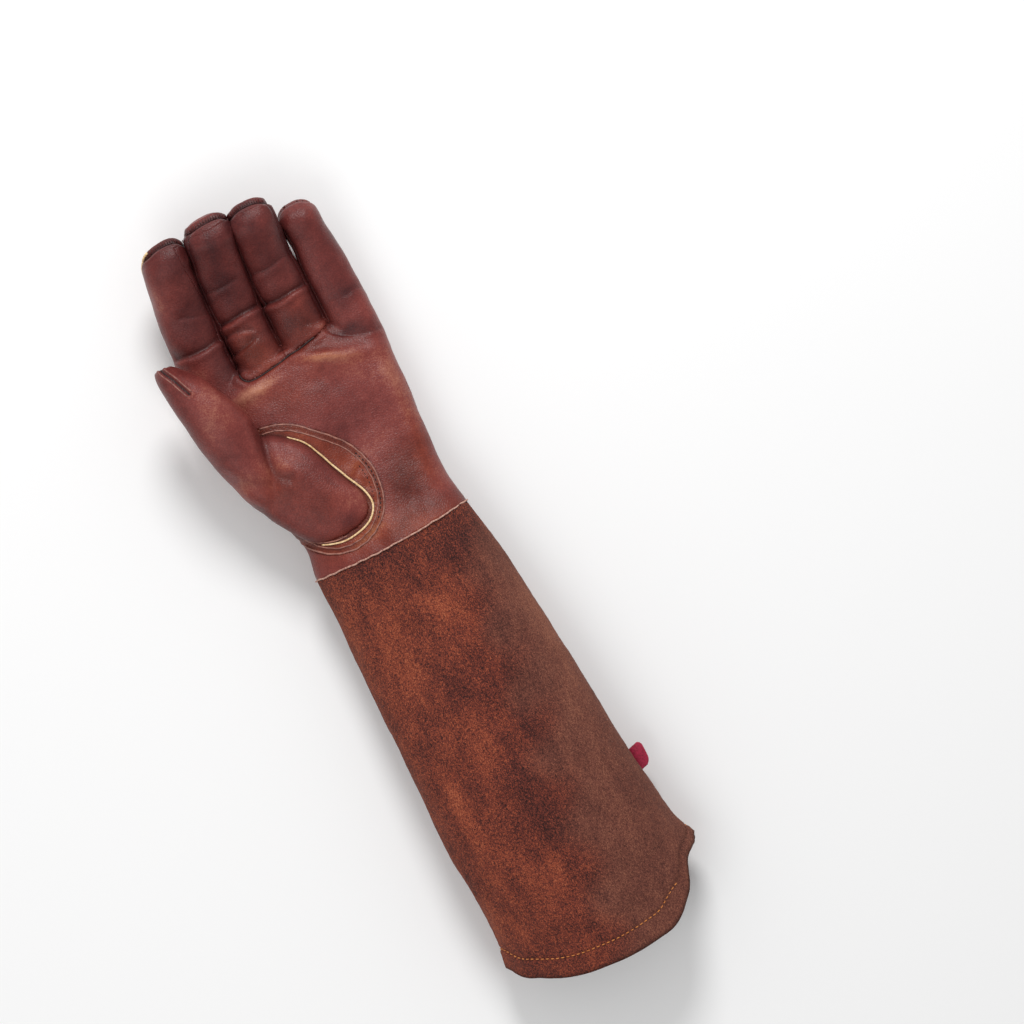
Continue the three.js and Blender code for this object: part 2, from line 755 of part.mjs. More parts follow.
// The cuff's section at a share of the seam's length, also a little past either end.
function cuffSection(along) {
  const next = cuffRows.findIndex((row) => row.along > along);
  const above = THREE.MathUtils.clamp(next < 0 ? cuffRows.length : next, 1, cuffRows.length - 1);
  const [a, b] = [cuffRows[above - 1], cuffRows[above]];
  const share = THREE.MathUtils.clamp((along - a.along) / (b.along - a.along), 0, 1);
  const mixed = Object.keys(a).map((key) => [key, between(a[key], b[key], share)]);
  return {
    ...Object.fromEntries(mixed),
    y: 0,
    folded: true,
    bow: (across) => between(wristDip(across) - seamGap / 2, hemRise(across) - cuffLength, along),
  };
}

const foldAt = 1 - hemFold / (cuffLength - hemRiseLeft);
const foldStep = seamGap / cuffLength;
const pastEnd = suedeWall / cuffLength;
const stops = cuffRows.map((row) => row.along);
const cuffOuter = tube(stops.map(cuffSection), cuffSides, 0);
const cuffInner = loft([
  ...[-pastEnd, ...stops.slice(1, -1)].map((at) => ringOf(cuffSection(at), cuffSides, suedeWall)),
  ringOf(cuffSection(foldAt - foldStep), cuffSides, suedeWall),
  ...[foldAt, 1 + pastEnd].map((at) => ringOf(cuffSection(at), cuffSides, hemWall)),
]);
// Height of the cuff's side seams. Along is a share of the cuff's length from the wrist.
const cuffSeam = [
  { along: -0.02, height: seamLow + grainWall },
  { along: 0.3, height: 0.33 * cuffDepth },
  { along: 1.05, height: 0.36 * cuffDepth },
];
const cuffCut = loft(
  cuffSeam.map(({ along, height }) =>
    [
      [-1, -1],
      [1, -1],
      [1, 1],
      [-1, 1],
    ].map(([side, way]) => {
      const z = height + (way * seamGap) / 2;
      return new THREE.Vector3(side * hemWidth, -along * cuffLength, z);
    }),
  ),
);
const cuffPieces = cuffOuter.subtract(cuffInner).subtract(cuffCut);
const cuffMiddle = -cuffLength / 2;
const cuffPalmPanel = bodyAt(cuffPieces, new THREE.Vector3(0, cuffMiddle, cuffDepth), cuffDepth / 4);
const cuffBackPanel = bodyAt(cuffPieces, new THREE.Vector3(0, cuffMiddle, suedeWall / 2));

// Size tab beside the cuff's little-finger seam

const tabY = -tabAlong * (cuffLength - hemRiseRight);
const tabShape = new THREE.Shape();
tabShape.moveTo(0, -tabWidth / 2);
tabShape.lineTo(tabReach - tabRound, -tabWidth / 2);
tabShape.absarc(tabReach - tabRound, tabRound - tabWidth / 2, tabRound, -Math.PI / 2, 0);
tabShape.absarc(tabReach - tabRound, tabWidth / 2 - tabRound, tabRound, 0, Math.PI / 2);
tabShape.lineTo(0, tabWidth / 2);
const tabGeometry = new THREE.ExtrudeGeometry(tabShape, {
  depth: tabWall,
  curveSegments: 5,
  bevelEnabled: false,
});
const tabFrom = new THREE.Vector3(hemWidth, tabY - tabWidth / 2, cuffSeam[1].height);
const tabRoot = onSkin(meshOf(cuffOuter, 'cuff_skin'), tabFrom, leftwards);
tabGeometry.translate(tabRoot.x + seamGap, tabY, tabRoot.z - tabWall / 2);
const sizeTab = solidOf(tabGeometry);

const grain = new THREE.MeshStandardMaterial({ color: 0x713a33, roughness: 0.42, metalness: 0 });
const suede = new THREE.MeshStandardMaterial({ color: 0x6d3322, roughness: 0.95, metalness: 0 });
const cream = new THREE.MeshStandardMaterial({ color: 0xd9a566, roughness: 0.6, metalness: 0 });
const crimson = new THREE.MeshStandardMaterial({ color: 0xb01f2e, roughness: 0.7, metalness: 0 });

const glove = new THREE.Group();
glove.add(
  meshOf(palmPanel, 'palm_panel', grain),
  meshOf(backPanel, 'back_panel', grain),
  meshOf(middleFront, 'middle_finger_front', grain),
  meshOf(ringFront, 'ring_finger_front', grain),
  ...gussets.map(({ name, solid }) => meshOf(solid, name, grain)),
  meshOf(thumbPiece, 'thumb', grain),
  meshOf(patch, 'thumb_patch', grain),
  meshOf(thumbWelt, 'thumb_welt', cream),
  meshOf(sideWelt, 'side_welt', cream),
  meshOf(wristWelt, 'wrist_welt', cream),
  meshOf(cuffPalmPanel, 'cuff_palm_panel', suede),
  meshOf(cuffBackPanel, 'cuff_back_panel', suede),
  meshOf(sizeTab, 'size_tab', crimson),
);

// The origin goes to the middle of the glove's base.
const extent = new THREE.Box3().setFromObject(glove);
glove.position.set(
  -(extent.min.x + extent.max.x) / 2,
  -(extent.min.y + extent.max.y) / 2,
  -extent.min.z,
);

export default glove;
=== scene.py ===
import math

import bmesh
import bpy
import numpy as np
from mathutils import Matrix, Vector
from mathutils.bvhtree import BVHTree


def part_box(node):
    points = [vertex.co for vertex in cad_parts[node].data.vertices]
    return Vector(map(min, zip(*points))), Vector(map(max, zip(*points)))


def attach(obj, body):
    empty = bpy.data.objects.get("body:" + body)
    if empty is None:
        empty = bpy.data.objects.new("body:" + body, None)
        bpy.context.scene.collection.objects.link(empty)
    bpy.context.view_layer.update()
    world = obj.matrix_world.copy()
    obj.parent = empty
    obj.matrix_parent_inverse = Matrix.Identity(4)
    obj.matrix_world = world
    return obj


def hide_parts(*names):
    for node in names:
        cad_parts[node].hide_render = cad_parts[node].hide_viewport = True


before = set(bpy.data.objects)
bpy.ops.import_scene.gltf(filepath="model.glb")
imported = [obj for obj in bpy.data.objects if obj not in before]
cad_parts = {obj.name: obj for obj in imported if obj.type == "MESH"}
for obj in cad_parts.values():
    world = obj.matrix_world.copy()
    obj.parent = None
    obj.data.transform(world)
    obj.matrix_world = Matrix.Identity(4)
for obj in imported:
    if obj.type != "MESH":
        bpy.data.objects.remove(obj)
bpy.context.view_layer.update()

# Looks of a long rose pruning gauntlet for the left hand, lying on its back with the palm up.
# Tables and lengths are in millimetres, with the middle of the wrist seam over y = 0. The object's
# own frame has its origin in the middle of the glove's base, and every mesh is made in it.
MM = 0.001
HEM_LOW = 245.4
SHIFT = np.array([-1.098, 24.986, 0.0])  # from the wrist seam to the middle of the base
UP, DOWN, RIGHT = (0, 0, 1), (0, 0, -1), (1, 0, 0)
CLEAR = 120  # a height or distance well outside the glove, where rays start

# Fingers from the thumb's side, as in the model: free length from the fork to the tip, curl of the
# tip in degrees, and sideways drift of the tip as a share of the width.
FINGERS = [
    dict(name="index", width=28.4, taper=0.9, depth=23, free=86, curl=37, drift=0.33),
    dict(name="middle", width=24.6, taper=1.07, depth=23, free=89, curl=42, drift=0.3),
    dict(name="ring", width=26.6, taper=0.9, depth=23, free=87, curl=42, drift=0.1),
    dict(name="little", width=23.6, taper=0.86, depth=21, free=70, curl=22, drift=-0.06),
]
FORK_GAP = 0.8
FINGER_ROOT = 22.0
GUSSET = 10.4
PALM_LENGTH = 114.0
PALM_DEPTH = 34.0
PALM_WIDTH = sum(finger["width"] for finger in FINGERS) + 3 * FORK_GAP
PALM_LEFT = -0.565 * PALM_WIDTH
FINGER_LEVEL = 0.46 * PALM_DEPTH
SEAM_TOP = FINGER_LEVEL + GUSSET / 2
SEAM_LOW = FINGER_LEVEL - GUSSET / 2
WRIST_HALF, WRIST_LOW, WRIST_HIGH = 44.0, 2.6, 43.6
THUMB_REACH = 134.0
THUMB_WIDTH = 29.0
THUMB_DEPTH = 30.0
BALL_LENGTH = 68.0
BALL_WIDTH = 56.0
PATCH_LENGTH = 79.0
PATCH_WIDTH = 48.0
HEM_WIDTH = 118.0
CUFF_DEPTH = 54.0
SUEDE = 1.8
HEM_WALL = 3.3
HEM_FOLD = 13.0
VOXEL = 0.8
ELASTIC = 38  # how far up the hand the elastic crosses its back
SPREAD = 3.2  # how far the fingers are parted while their skin is made, so that they don't fuse
DOME = 0.52  # length of a fingertip's dome, as a share of the finger's width
LEATHER_WALL = 1.3
COLUMNS = 170  # points across one panel of the cuff
ROWS = 250  # points along it, on each face
CUFF_RUN = 225  # length of suede that the rows span
LAST_ROW = ROWS - 1
SEAM_STEP = 0.9  # length between columns

# along, left, right, low, high, square: shares as in the model
PALM = np.array([
    [0.0, 0.417, 0.417, 0.076, 1.282, 2.3],
    [0.13, 0.393, 0.393, 0.05, 1.14, 2.4],
    [0.26, 0.414, 0.39, 0.03, 1.07, 2.5],
    [0.44, 0.47, 0.4, 0.0, 1.02, 2.6],
    [0.62, 0.512, 0.415, 0.0, 1.0, 2.7],
    [0.79, 0.54, 0.42, 0.0, 0.95, 2.8],
    [0.91, 0.555, 0.423, 0.02, 0.87, 2.9],
    [0.98, 0.55, 0.42, 0.11, 0.77, 2.9],
    [1.015, 0.535, 0.41, 0.25, 0.66, 2.6],
])
THUMB = np.array([
    [0.3, -0.3, 0.62, 0.42, 1.28, 2.0],
    [0.39, -0.03, 0.74, 0.42, 1.44, 2.1],
    [0.48, 0.09, 0.76, 0.5, 1.56, 2.1],
    [0.57, 0.2, 0.76, 0.66, 1.7, 2.1],
    [0.66, 0.28, 0.74, 0.87, 1.84, 2.1],
    [0.74, 0.33, 0.66, 1.0, 1.93, 2.1],
    [0.82, 0.38, 0.48, 1.06, 1.95, 2.1],
    [0.9, 0.42, 0.27, 1.12, 1.93, 2.1],
    [0.96, 0.43, 0.04, 1.2, 1.86, 2.2],
    [0.99, 0.4, -0.08, 1.34, 1.72, 2.2],
])
CUFF = np.array([
    [0.0, 44 / 118, 44 / 118, 2.6 / 54, 43.6 / 54, 2.3],
    [0.12, 0.375, 0.408, -0.074, 0.84, 2.3],
    [0.34, 0.385, 0.449, -0.074, 0.93, 2.3],
    [0.56, 0.39, 0.485, -0.074, 0.99, 2.3],
    [0.72, 0.395, 0.505, -0.074, 1.0, 2.3],
    [0.84, 0.38, 0.531, -0.074, 0.99, 2.2],
    [0.9, 0.381, 0.544, -0.074, 0.965, 2.14],
    [0.95, 0.386, 0.562, -0.074, 0.935, 2.08],
    [0.98, 0.394, 0.585, -0.074, 0.912, 2.03],
    [1.0, 0.4, 0.599, -0.074, 0.9, 2.0],
])
# How far the hem climbs over its lowest point, along the share of the half width from the middle
HEM_CLIMB = np.array([
    [-1.0, 22.0], [-0.92, 15.5], [-0.76, 9.8], [-0.57, 4.8], [-0.37, 1.8], [-0.2, 0.8],
    [0.0, 0.0], [0.31, 1.3], [0.49, 3.5], [0.58, 7.0], [0.65, 11.0], [0.75, 18.5],
    [0.79, 24.0], [0.82, 29.0], [0.87, 32.6], [0.93, 35.0], [0.97, 36.8], [1.0, 41.0],
])
BALL = np.array([
    [0, 0], [0.2, 0.035], [0.315, 0.12], [0.325, 0.24], [0.235, 0.4], [0.13, 0.6], [0.05, 0.76],
    [-0.12, 0.91], [-0.36, 1], [-0.56, 0.88], [-0.62, 0.7], [-0.6, 0.5], [-0.49, 0.31],
    [-0.35, 0.12], [-0.17, 0.02],
])
BALL_TIERS = np.array([[-0.25, 0.8], [0.05, 0.96], [0.5, 1.0], [0.74, 0.94], [0.9, 0.72], [0.99, 0.36]])
PATCH = np.array([
    [-0.36, 0.99], [-0.19, 0.975], [0.02, 0.915], [0.23, 0.8], [0.43, 0.67], [0.53, 0.555],
    [0.58, 0.44], [0.58, 0.33], [0.51, 0.18], [0.36, 0.07], [0.18, 0.015], [0, 0], [-0.2, 0.03],
    [-0.37, 0.1], [-0.5, 0.2],
])
FRONT_SEAM = np.array([
    [-0.295, 1.12], [-0.295, 1.0], [-0.297, 0.975], [-0.275, 0.948], [-0.24, 0.943],
    [-0.14, 0.952], [-0.05, 0.965], [0.05, 0.98], [0.14, 0.995], [0.19, 1.012], [0.206, 1.05],
    [0.208, 1.12],
])

# Wide folds: x, y, reach, half width, turn in degrees, depth (negative rises), in millimetres
HAND_FOLDS = [
    (12, 62, 34, 15, 75, 3.2),
    (34, 105, 16, 6, -20, 2.0),
    (20, 14, 10.5, 7.4, 80, 2.0),
]
# How much shorter each fingertip is than in the model, and the rest of the hand
TIP_SHORTER = np.array([1.7, 1.2, 1.7, 1.0, 0])
CUFF_FOLDS = [
    (20, -120, 95, 9, 88, 3.5),
    (38, -74, 59, 9, 84, -2.0),
    (-22, -62, 32, 13, 70, 3.0),
    (-2, -185, 38, 14, 100, 3.0),
]


def ease(low, high, value):
    """A smooth step from 0 at low to 1 at high."""
    share = np.clip((value - low) / (high - low), 0, 1)
    return share * share * (3 - 2 * share)


def bell(value, centre, half):
    return np.exp(-((value - centre) / half) ** 2)


def spline(at, xs, ys):
    """A smooth curve through the points (xs, ys), level past either end."""
    slopes = np.gradient(ys, xs)
    k = np.clip(np.searchsorted(xs, at) - 1, 0, len(xs) - 2)
    step = xs[k + 1] - xs[k]
    t = np.clip((at - xs[k]) / step, 0, 1)
    return (
        ys[k] * (1 + 2 * t) * (1 - t) ** 2
        + ys[k + 1] * t * t * (3 - 2 * t)
        + step * t * (1 - t) * (slopes[k] * (1 - t) - slopes[k + 1] * t)
    )


def unit(vectors):
    return vectors / np.maximum(np.linalg.norm(vectors, axis=1), 1e-12)[:, None]


def left_of(ahead):
    """Unit directions in the plan, square to the given ones."""
    return unit(np.stack([-ahead[:, 1], ahead[:, 0]], axis=1))


def run_of(path, power=1):
    """The length of a path up to each of its points."""
    return np.concatenate([[0], np.cumsum(np.linalg.norm(np.diff(path, axis=0), axis=1) ** power)])


def read_at(stops, run, values):
    """Rows of values read between the places on a run that they belong to."""
    return np.stack([np.interp(stops, run, column) for column in values.T], axis=-1)


def evenly(path, count):
    run = run_of(path)
    return read_at(np.linspace(0, run[-1], count), run, path)


def smooth_path(points, count, closed=False):
    """Evenly spaced points on a smooth curve through the given ones."""
    points = np.asarray(points, float)
    if closed:
        points = np.vstack([points[-2:], points, points[:3]])
    knots = run_of(points, 0.5)
    span = (knots[2], knots[-3]) if closed else (0, knots[-1])
    fine = np.linspace(*span, 20 * count)
    dense = np.stack([spline(fine, knots, column) for column in points.T], axis=1)
    return evenly(dense, count + 1)[:-1] if closed else evenly(dense, count)


def ripples(points, size, seed, stretch=(1, 1, 1), waves=14):
    """A smooth random field between about -1 and 1, with features of the given size."""
    random = np.random.default_rng(seed)
    total = np.zeros(len(points))
    for _ in range(waves):
        way = random.normal(size=3)
        way *= 2 * math.pi / (size * np.linalg.norm(way)) / np.array(stretch)
        total += np.sin(points @ way + random.uniform(0, 2 * math.pi))
    return total * math.sqrt(2 / waves) * 0.6


def rough(points, *waves):
    """The sum of several random fields, each with its height, size and seed."""
    return sum(height * ripples(points, *wave) for height, *wave in waves)


def waver(path, reach, *waves):
    """A path with a slight random wander: a size and a seed for each direction that has one."""
    moved = path.copy()
    for k, (size, seed) in enumerate(waves):
        moved[:, k] += reach * ripples(path, size, seed)
    return moved


def bumps(table, x, y):
    """The sum of the long soft bumps of a table at points of the plan."""
    total = np.zeros(np.shape(x))
    for cx, cy, reach, half, turn, depth in table:
        cos, sin = math.cos(math.radians(turn)), math.sin(math.radians(turn))
        along = ((x - cx) * cos + (y - cy) * sin) / reach
        aside = ((y - cy) * cos - (x - cx) * sin) / half
        total = total + depth * np.exp(-along ** 2 - aside ** 2)
    return total


def nearest_on(path, points):
    """The nearest spot of a plan polyline to each point, and the distance in the plan."""
    plan = points[:, :2]
    best = np.full(len(plan), 1e9)
    spot = plan.copy()
    for start, end in zip(path[:-1], path[1:]):
        way = end - start
        share = np.clip((plan - start) @ way / (way @ way), 0, 1)
        foot = start + share[:, None] * way
        gap = np.linalg.norm(plan - foot, axis=1)
        closer = gap < best
        best[closer] = gap[closer]
        spot[closer] = foot[closer]
    return spot, best


def inside(path, points):
    """Whether each point of the plan lies inside a closed outline."""
    x, y = points[:, :2].T
    odd = np.zeros(len(points), bool)
    for (ax, ay), (bx, by) in zip(path, np.roll(path, -1, axis=0)):
        if by != ay:
            odd ^= ((ay > y) != (by > y)) & (x < ax + (y - ay) * (bx - ax) / (by - ay))
    return odd


# Closed forms, each a list of rings, from which the skin is made

def rounded(wave, power):
    return np.sign(wave) * np.abs(wave) ** power


def circle(sides, power=1.0):
    """Shares across and up round a closed section, squarer the smaller the power."""
    angle = np.linspace(0, 2 * math.pi, sides, endpoint=False)
    return rounded(np.cos(angle), power), rounded(np.sin(angle), power)


def row_of(table, along):
    """A table's row between the given ones."""
    return [spline(along, table[:, 0], column) for column in table.T[1:]]


def ring_of(left, right, low, high, square, y_at, sides, sink=None):
    across, up = circle(sides, 2 / square)
    x = (left + right) / 2 + across * (right - left) / 2
    y = y_at(across)
    z = (low + high) / 2 + up * (high - low) / 2
    if sink is not None:
        z = z - bumps(sink, x, y) * np.maximum(up, 0)
    return np.stack([x, y, np.maximum(z, 0)], axis=1)


def wrist_dip(across):
    return 2.4 * (0.45 * across + across ** 2 - 0.6)


def table_rings(table, first, last, base, width, length, depth, sides, sink=None):
    """Rings of a form whose table gives shares of its width and depth along its length."""
    rings = []
    for along in np.linspace(first, last, 70):
        left, right, low, high, square = row_of(table, along)
        y = along * length
        dip = 0 if sink is None else 1 - ease(0, length / 4, y)
        rings.append(ring_of(
            base - left * width, base + right * width, low * depth, high * depth, square,
            lambda across: y + wrist_dip(across) * dip, sides, sink))
    return rings


def plan_of(table, foot, width, length, count, closed):
    points = np.asarray(table, float) * [width, length] + foot
    return smooth_path(points, count, closed)


BALL_FOOT = np.array([-0.175 * PALM_WIDTH, 0.105 * PALM_LENGTH])
PATCH_FOOT = np.array([-0.18 * PALM_WIDTH, 0.045 * PALM_LENGTH])
BALL_PLAN = plan_of(BALL, BALL_FOOT, BALL_WIDTH, BALL_LENGTH, 90, True)
PATCH_PLAN = plan_of(PATCH, PATCH_FOOT, PATCH_WIDTH, PATCH_LENGTH, 90, False)
SEAM_PLAN = plan_of(FRONT_SEAM, np.zeros(2), PALM_WIDTH, PALM_LENGTH, 80, False)
BALL_CROWN = 43.0


def ball_rings():
    centre = BALL_PLAN.mean(axis=0)
    rings = []
    for height in np.linspace(BALL_TIERS[0, 0], BALL_TIERS[-1, 0], 26):
        plan = centre + (BALL_PLAN - centre) * row_of(BALL_TIERS, height)[0]
        z = PALM_DEPTH / 2 + height * (BALL_CROWN - PALM_DEPTH / 2)
        rings.append(np.column_stack([plan, np.full(len(plan), z)]))
    return rings


# Fingers

edge = PALM_LEFT
for number, finger in enumerate(FINGERS):
    finger["x"] = edge + finger["width"] / 2
    finger["part"] = (number - 1.5) * SPREAD
    edge += finger["width"] + FORK_GAP
CURL = np.array([[0, 0], [0.25, 0.32], [0.5, 0.66], [0.75, 0.92], [1, 1]])


def parting(y):
    """How much of a finger's share of the spread applies at points along the hand."""
    return ease(PALM_LENGTH - 3, PALM_LENGTH + 20, y)


def spine_of(finger, spread=0.0, count=140):
    """Lengths, points, upward directions and free shares along a finger's centreline."""
    length = np.linspace(0, FINGER_ROOT + finger["free"], count)
    share = np.clip((length - FINGER_ROOT) / finger["free"], 0, 1)
    pitch = np.radians(finger["curl"]) * np.interp(share, CURL[:, 0], CURL[:, 1])
    step = length[1] - length[0]
    y = PALM_LENGTH - FINGER_ROOT + np.concatenate([[0], np.cumsum(np.cos(pitch[:-1]) * step)])
    z = FINGER_LEVEL + np.concatenate([[0], np.cumsum(np.sin(pitch[:-1]) * step)])
    x = finger["x"] + finger["drift"] * finger["width"] * share ** 2
    x = x + spread * finger["part"] * parting(y)
    up = np.stack([np.zeros(count), -np.sin(pitch), np.cos(pitch)], axis=1)
    return length, np.stack([x, y, z], axis=1), up, share


def half_width(finger, share):
    return finger["width"] / 2 * (1 + (finger["taper"] - 1) * ease(0.1, 0.9, share))


def finger_rings(finger):
    length, points, up, share = spine_of(finger, 1.0)
    end, dome = length[-1], DOME * finger["width"]
    stops = np.concatenate([
        np.linspace(0, end - dome, 70),
        end - dome + dome * np.sin(np.linspace(0.05, 1, 18) * math.pi / 2 * 0.985),
    ])
    across, rise = circle(64, 0.87)
    rings = []
    for stop in stops:
        size = (1 - max((stop - end + dome) / dome, 0) ** 2.5) ** 0.4
        size *= 0.9 + 0.1 * ease(0, 16, stop)
        lift = np.outer(rise * size * finger["depth"] / 2, read_at(stop, length, up))
        ring = read_at(stop, length, points) + lift
        ring[:, 0] += across * size * half_width(finger, np.interp(stop, length, share))
        rings.append(ring)
    return rings


# Meshes

def net(rows, columns, ring=True, loop=False):
    """Faces of a net of points, with each row closed to a ring or the rows closed to a loop."""
    faces = []
    for r in range(rows if loop else rows - 1):
        below, above = r * columns, (r + 1) % rows * columns
        for c in range(columns if ring else columns - 1):
            n = (c + 1) % columns
            faces.append((below + c, below + n, above + n, above + c))
    return faces


def loft(rings):
    """Points and faces of a closed form through rings of equal count."""
    sides = len(rings[0])
    points = np.vstack(rings + [rings[0].mean(axis=0)[None], rings[-1].mean(axis=0)[None]])
    faces = net(len(rings), sides)
    first, last = len(points) - 2, len(points) - 1
    top = (len(rings) - 1) * sides
    for k in range(sides):
        n = (k + 1) % sides
        faces += [(n, k, first), (top + k, top + n, last)]
    return points, faces


def merged(parts):
    points, faces, start = [], [], 0
    for part_points, part_faces in parts:
        points.append(part_points)
        faces += [tuple(v + start for v in face) for face in part_faces]
        start += len(part_points)
    return np.vstack(points), faces


def new_object(name, points, faces, material=None):
    """An object from points in the tables' millimetres."""
    mesh = bpy.data.meshes.new(name)
    mesh.from_pydata(((points + SHIFT) * MM).tolist(), [], [tuple(map(int, f)) for f in faces])
    mesh.update()
    mesh.shade_smooth()
    if material:
        mesh.materials.append(material)
    return placed(name, mesh)


def placed(name, data):
    made = bpy.data.objects.new(name, data)
    bpy.context.scene.collection.objects.link(made)
    return made


def finished(piece, slot, *nodes):
    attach(piece, "root")
    if nodes:
        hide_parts(*nodes)


def add(name, form, material, slot, *nodes):
    """A piece from points and faces, with the nodes that it stands for."""
    finished(new_object(name, *form, material), slot, *nodes)


def evaluated(piece):
    return piece.evaluated_get(bpy.context.evaluated_depsgraph_get())


def skin_of(forms, rounds):
    """One even, smoothed skin round several closed forms: its points and faces."""
    block = new_object("rough", *merged([loft(rings) for rings in forms]))
    remesh = block.modifiers.new("remesh", "REMESH")
    remesh.mode = "VOXEL"
    remesh.voxel_size = VOXEL * MM
    mesh = evaluated(block).to_mesh()
    points = np.empty(3 * len(mesh.vertices))
    mesh.vertices.foreach_get("co", points)
    points = points.reshape(-1, 3) / MM - SHIFT
    faces = np.array([tuple(p.vertices) for p in mesh.polygons if len(p.vertices) == 4])
    edges = np.empty(2 * len(mesh.edges), int)
    mesh.edges.foreach_get("vertices", edges)
    bpy.data.objects.remove(block)
    start, end = edges.reshape(-1, 2).T
    count = np.bincount(edges, minlength=len(points))[:, None]
    for _ in range(rounds):
        total = np.zeros_like(points)
        np.add.at(total, start, points[end])
        np.add.at(total, end, points[start])
        points = points * 0.5 + 0.5 * total / np.maximum(count, 1)
    return points, faces


def normals_of(points, faces):
    a, b, c, d = (points[faces[:, k]] for k in range(4))
    face = np.cross(c - a, d - b)
    total = np.zeros_like(points)
    for k in range(4):
        np.add.at(total, faces[:, k], face)
    return unit(total)


def shaded(piece, shades):
    """Numbers kept on a piece's points for its material to read."""
    for key, values in shades.items():
        layer = piece.data.attributes.new(key, "FLOAT", "POINT")
        layer.data.foreach_set("value", values.astype(np.float32))


def panel_of(name, points, faces, shades):
    """A leather panel of the skin for a node, with a wall behind it and its shades."""
    used, index = np.unique(faces, return_inverse=True)
    piece = new_object(name + "_leather", points[used], index.reshape(faces.shape), GRAIN)
    shaded(piece, {key: values[used] for key, values in shades.items()})
    solid = piece.modifiers.new("wall", "SOLIDIFY")
    solid.thickness = LEATHER_WALL * MM
    solid.offset = -1
    made = bpy.data.meshes.new_from_object(evaluated(piece))
    piece.modifiers.clear()
    piece.data = made
    finished(piece, "grain_leather", name)


def tree_of(points, faces):
    return BVHTree.FromPolygons(points.tolist(), faces.tolist())


def landed(skin, starts, way, lift=0.0):
    """Where rays from the starts meet a skin, lifted off it, and the skin's normals there."""
    hits = [skin.ray_cast(Vector(start), Vector(way))[:2] for start in starts]
    normals = np.array([normal for hit, normal in hits if hit])
    return np.array([hit for hit, normal in hits if hit]) + normals * lift, normals


def dropped(skin, plan, lift=0.0):
    """The same for rays straight down on points of the plan."""
    return landed(skin, [(x, y, CLEAR) for x, y in plan], DOWN, lift)


def tube(path, radius, sides=8, closed=False, upright=UP):
    """Points and faces of a round strand along a path."""
    ahead = np.roll(path, -1, axis=0) - np.roll(path, 1, axis=0)
    if not closed:
        ahead[0] = path[1] - path[0]
        ahead[-1] = path[-1] - path[-2]
    ahead = unit(ahead)
    side = unit(np.cross(np.array(upright, float), ahead))
    cos, sin = circle(sides)
    rings = [p + r * (np.outer(cos, s) + np.outer(sin, u)) for p, r, s, u in zip(
        path, np.broadcast_to(radius, len(path)), side, np.cross(ahead, side))]
    if not closed:
        return loft(rings)
    return np.vstack(rings), net(len(rings), sides, loop=True)


def stitches(path, normals, length, gap, radius, sink=0.5):
    """Separate stitches along a path that lies on a surface with the given normals."""
    run = run_of(path)
    arch = np.sin(np.linspace(0, math.pi, 6))
    parts = []
    start = gap / 2
    while start + length < run[-1]:
        at = np.linspace(start, start + length, 6)
        out = read_at(at, run, normals)
        spots = read_at(at, run, path) + out * (arch * (radius + sink) - sink)[:, None]
        parts.append(tube(spots, radius * (0.65 + 0.35 * arch), 6, upright=out[3] + 1e-3))
        start += length + gap
    return merged(parts)


# Materials

def feed(tree, made, inputs):
    """Values or links for the inputs of a node."""
    for key, value in inputs.items():
        if isinstance(value, bpy.types.NodeSocket):
            tree.links.new(value, made.inputs[key])
        else:
            made.inputs[key].default_value = value


def material(name):
    made = bpy.data.materials.new(name)
    made.use_nodes = True
    return made, made.node_tree, made.node_tree.nodes["Principled BSDF"]


def node(tree, kind, inputs, **settings):
    made = tree.nodes.new(kind)
    for key, value in settings.items():
        setattr(made, key, value)
    feed(tree, made, inputs)
    return made


def place_of(tree):
    return node(tree, "ShaderNodeTexCoord", {}).outputs["Object"]


def noise(tree, where, scale, detail=4, rough=0.55, distort=0.0):
    inputs = {"Vector": where, "Scale": scale, "Detail": detail, "Roughness": rough,
              "Distortion": distort}
    return node(tree, "ShaderNodeTexNoise", inputs).outputs["Fac"]


def ramp(tree, value, stops):
    made = node(tree, "ShaderNodeValToRGB", {"Fac": value})
    elements = made.color_ramp.elements
    while len(elements) < len(stops):
        elements.new(0.5)
    for element, (place, colour) in zip(elements, stops):
        element.position = place
        element.color = (*colour, 1)
    return made.outputs["Color"]


def maths(tree, operation, a, b=0.0, c=0.0):
    return node(tree, "ShaderNodeMath", {0: a, 1: b, 2: c}, operation=operation).outputs[0]


def blend(tree, *pairs):
    """The sum of several values, each times its weight."""
    value, weight = pairs[0]
    total = maths(tree, "MULTIPLY", value, weight)
    for value, weight in pairs[1:]:
        total = maths(tree, "MULTIPLY_ADD", value, weight, total)
    return total


def mix(tree, share, a, b, kind="MIX"):
    inputs = {0: share, 6: a, 7: b}
    return node(tree, "ShaderNodeMix", inputs, data_type="RGBA", blend_type=kind).outputs[2]


def attribute(tree, name):
    return node(tree, "ShaderNodeAttribute", {}, attribute_name=name).outputs["Fac"]


def bump(tree, height, strength, distance, normal=None):
    inputs = {"Height": height, "Strength": strength, "Distance": distance}
    if normal is not None:
        inputs["Normal"] = normal
    return node(tree, "ShaderNodeBump", inputs).outputs["Normal"]


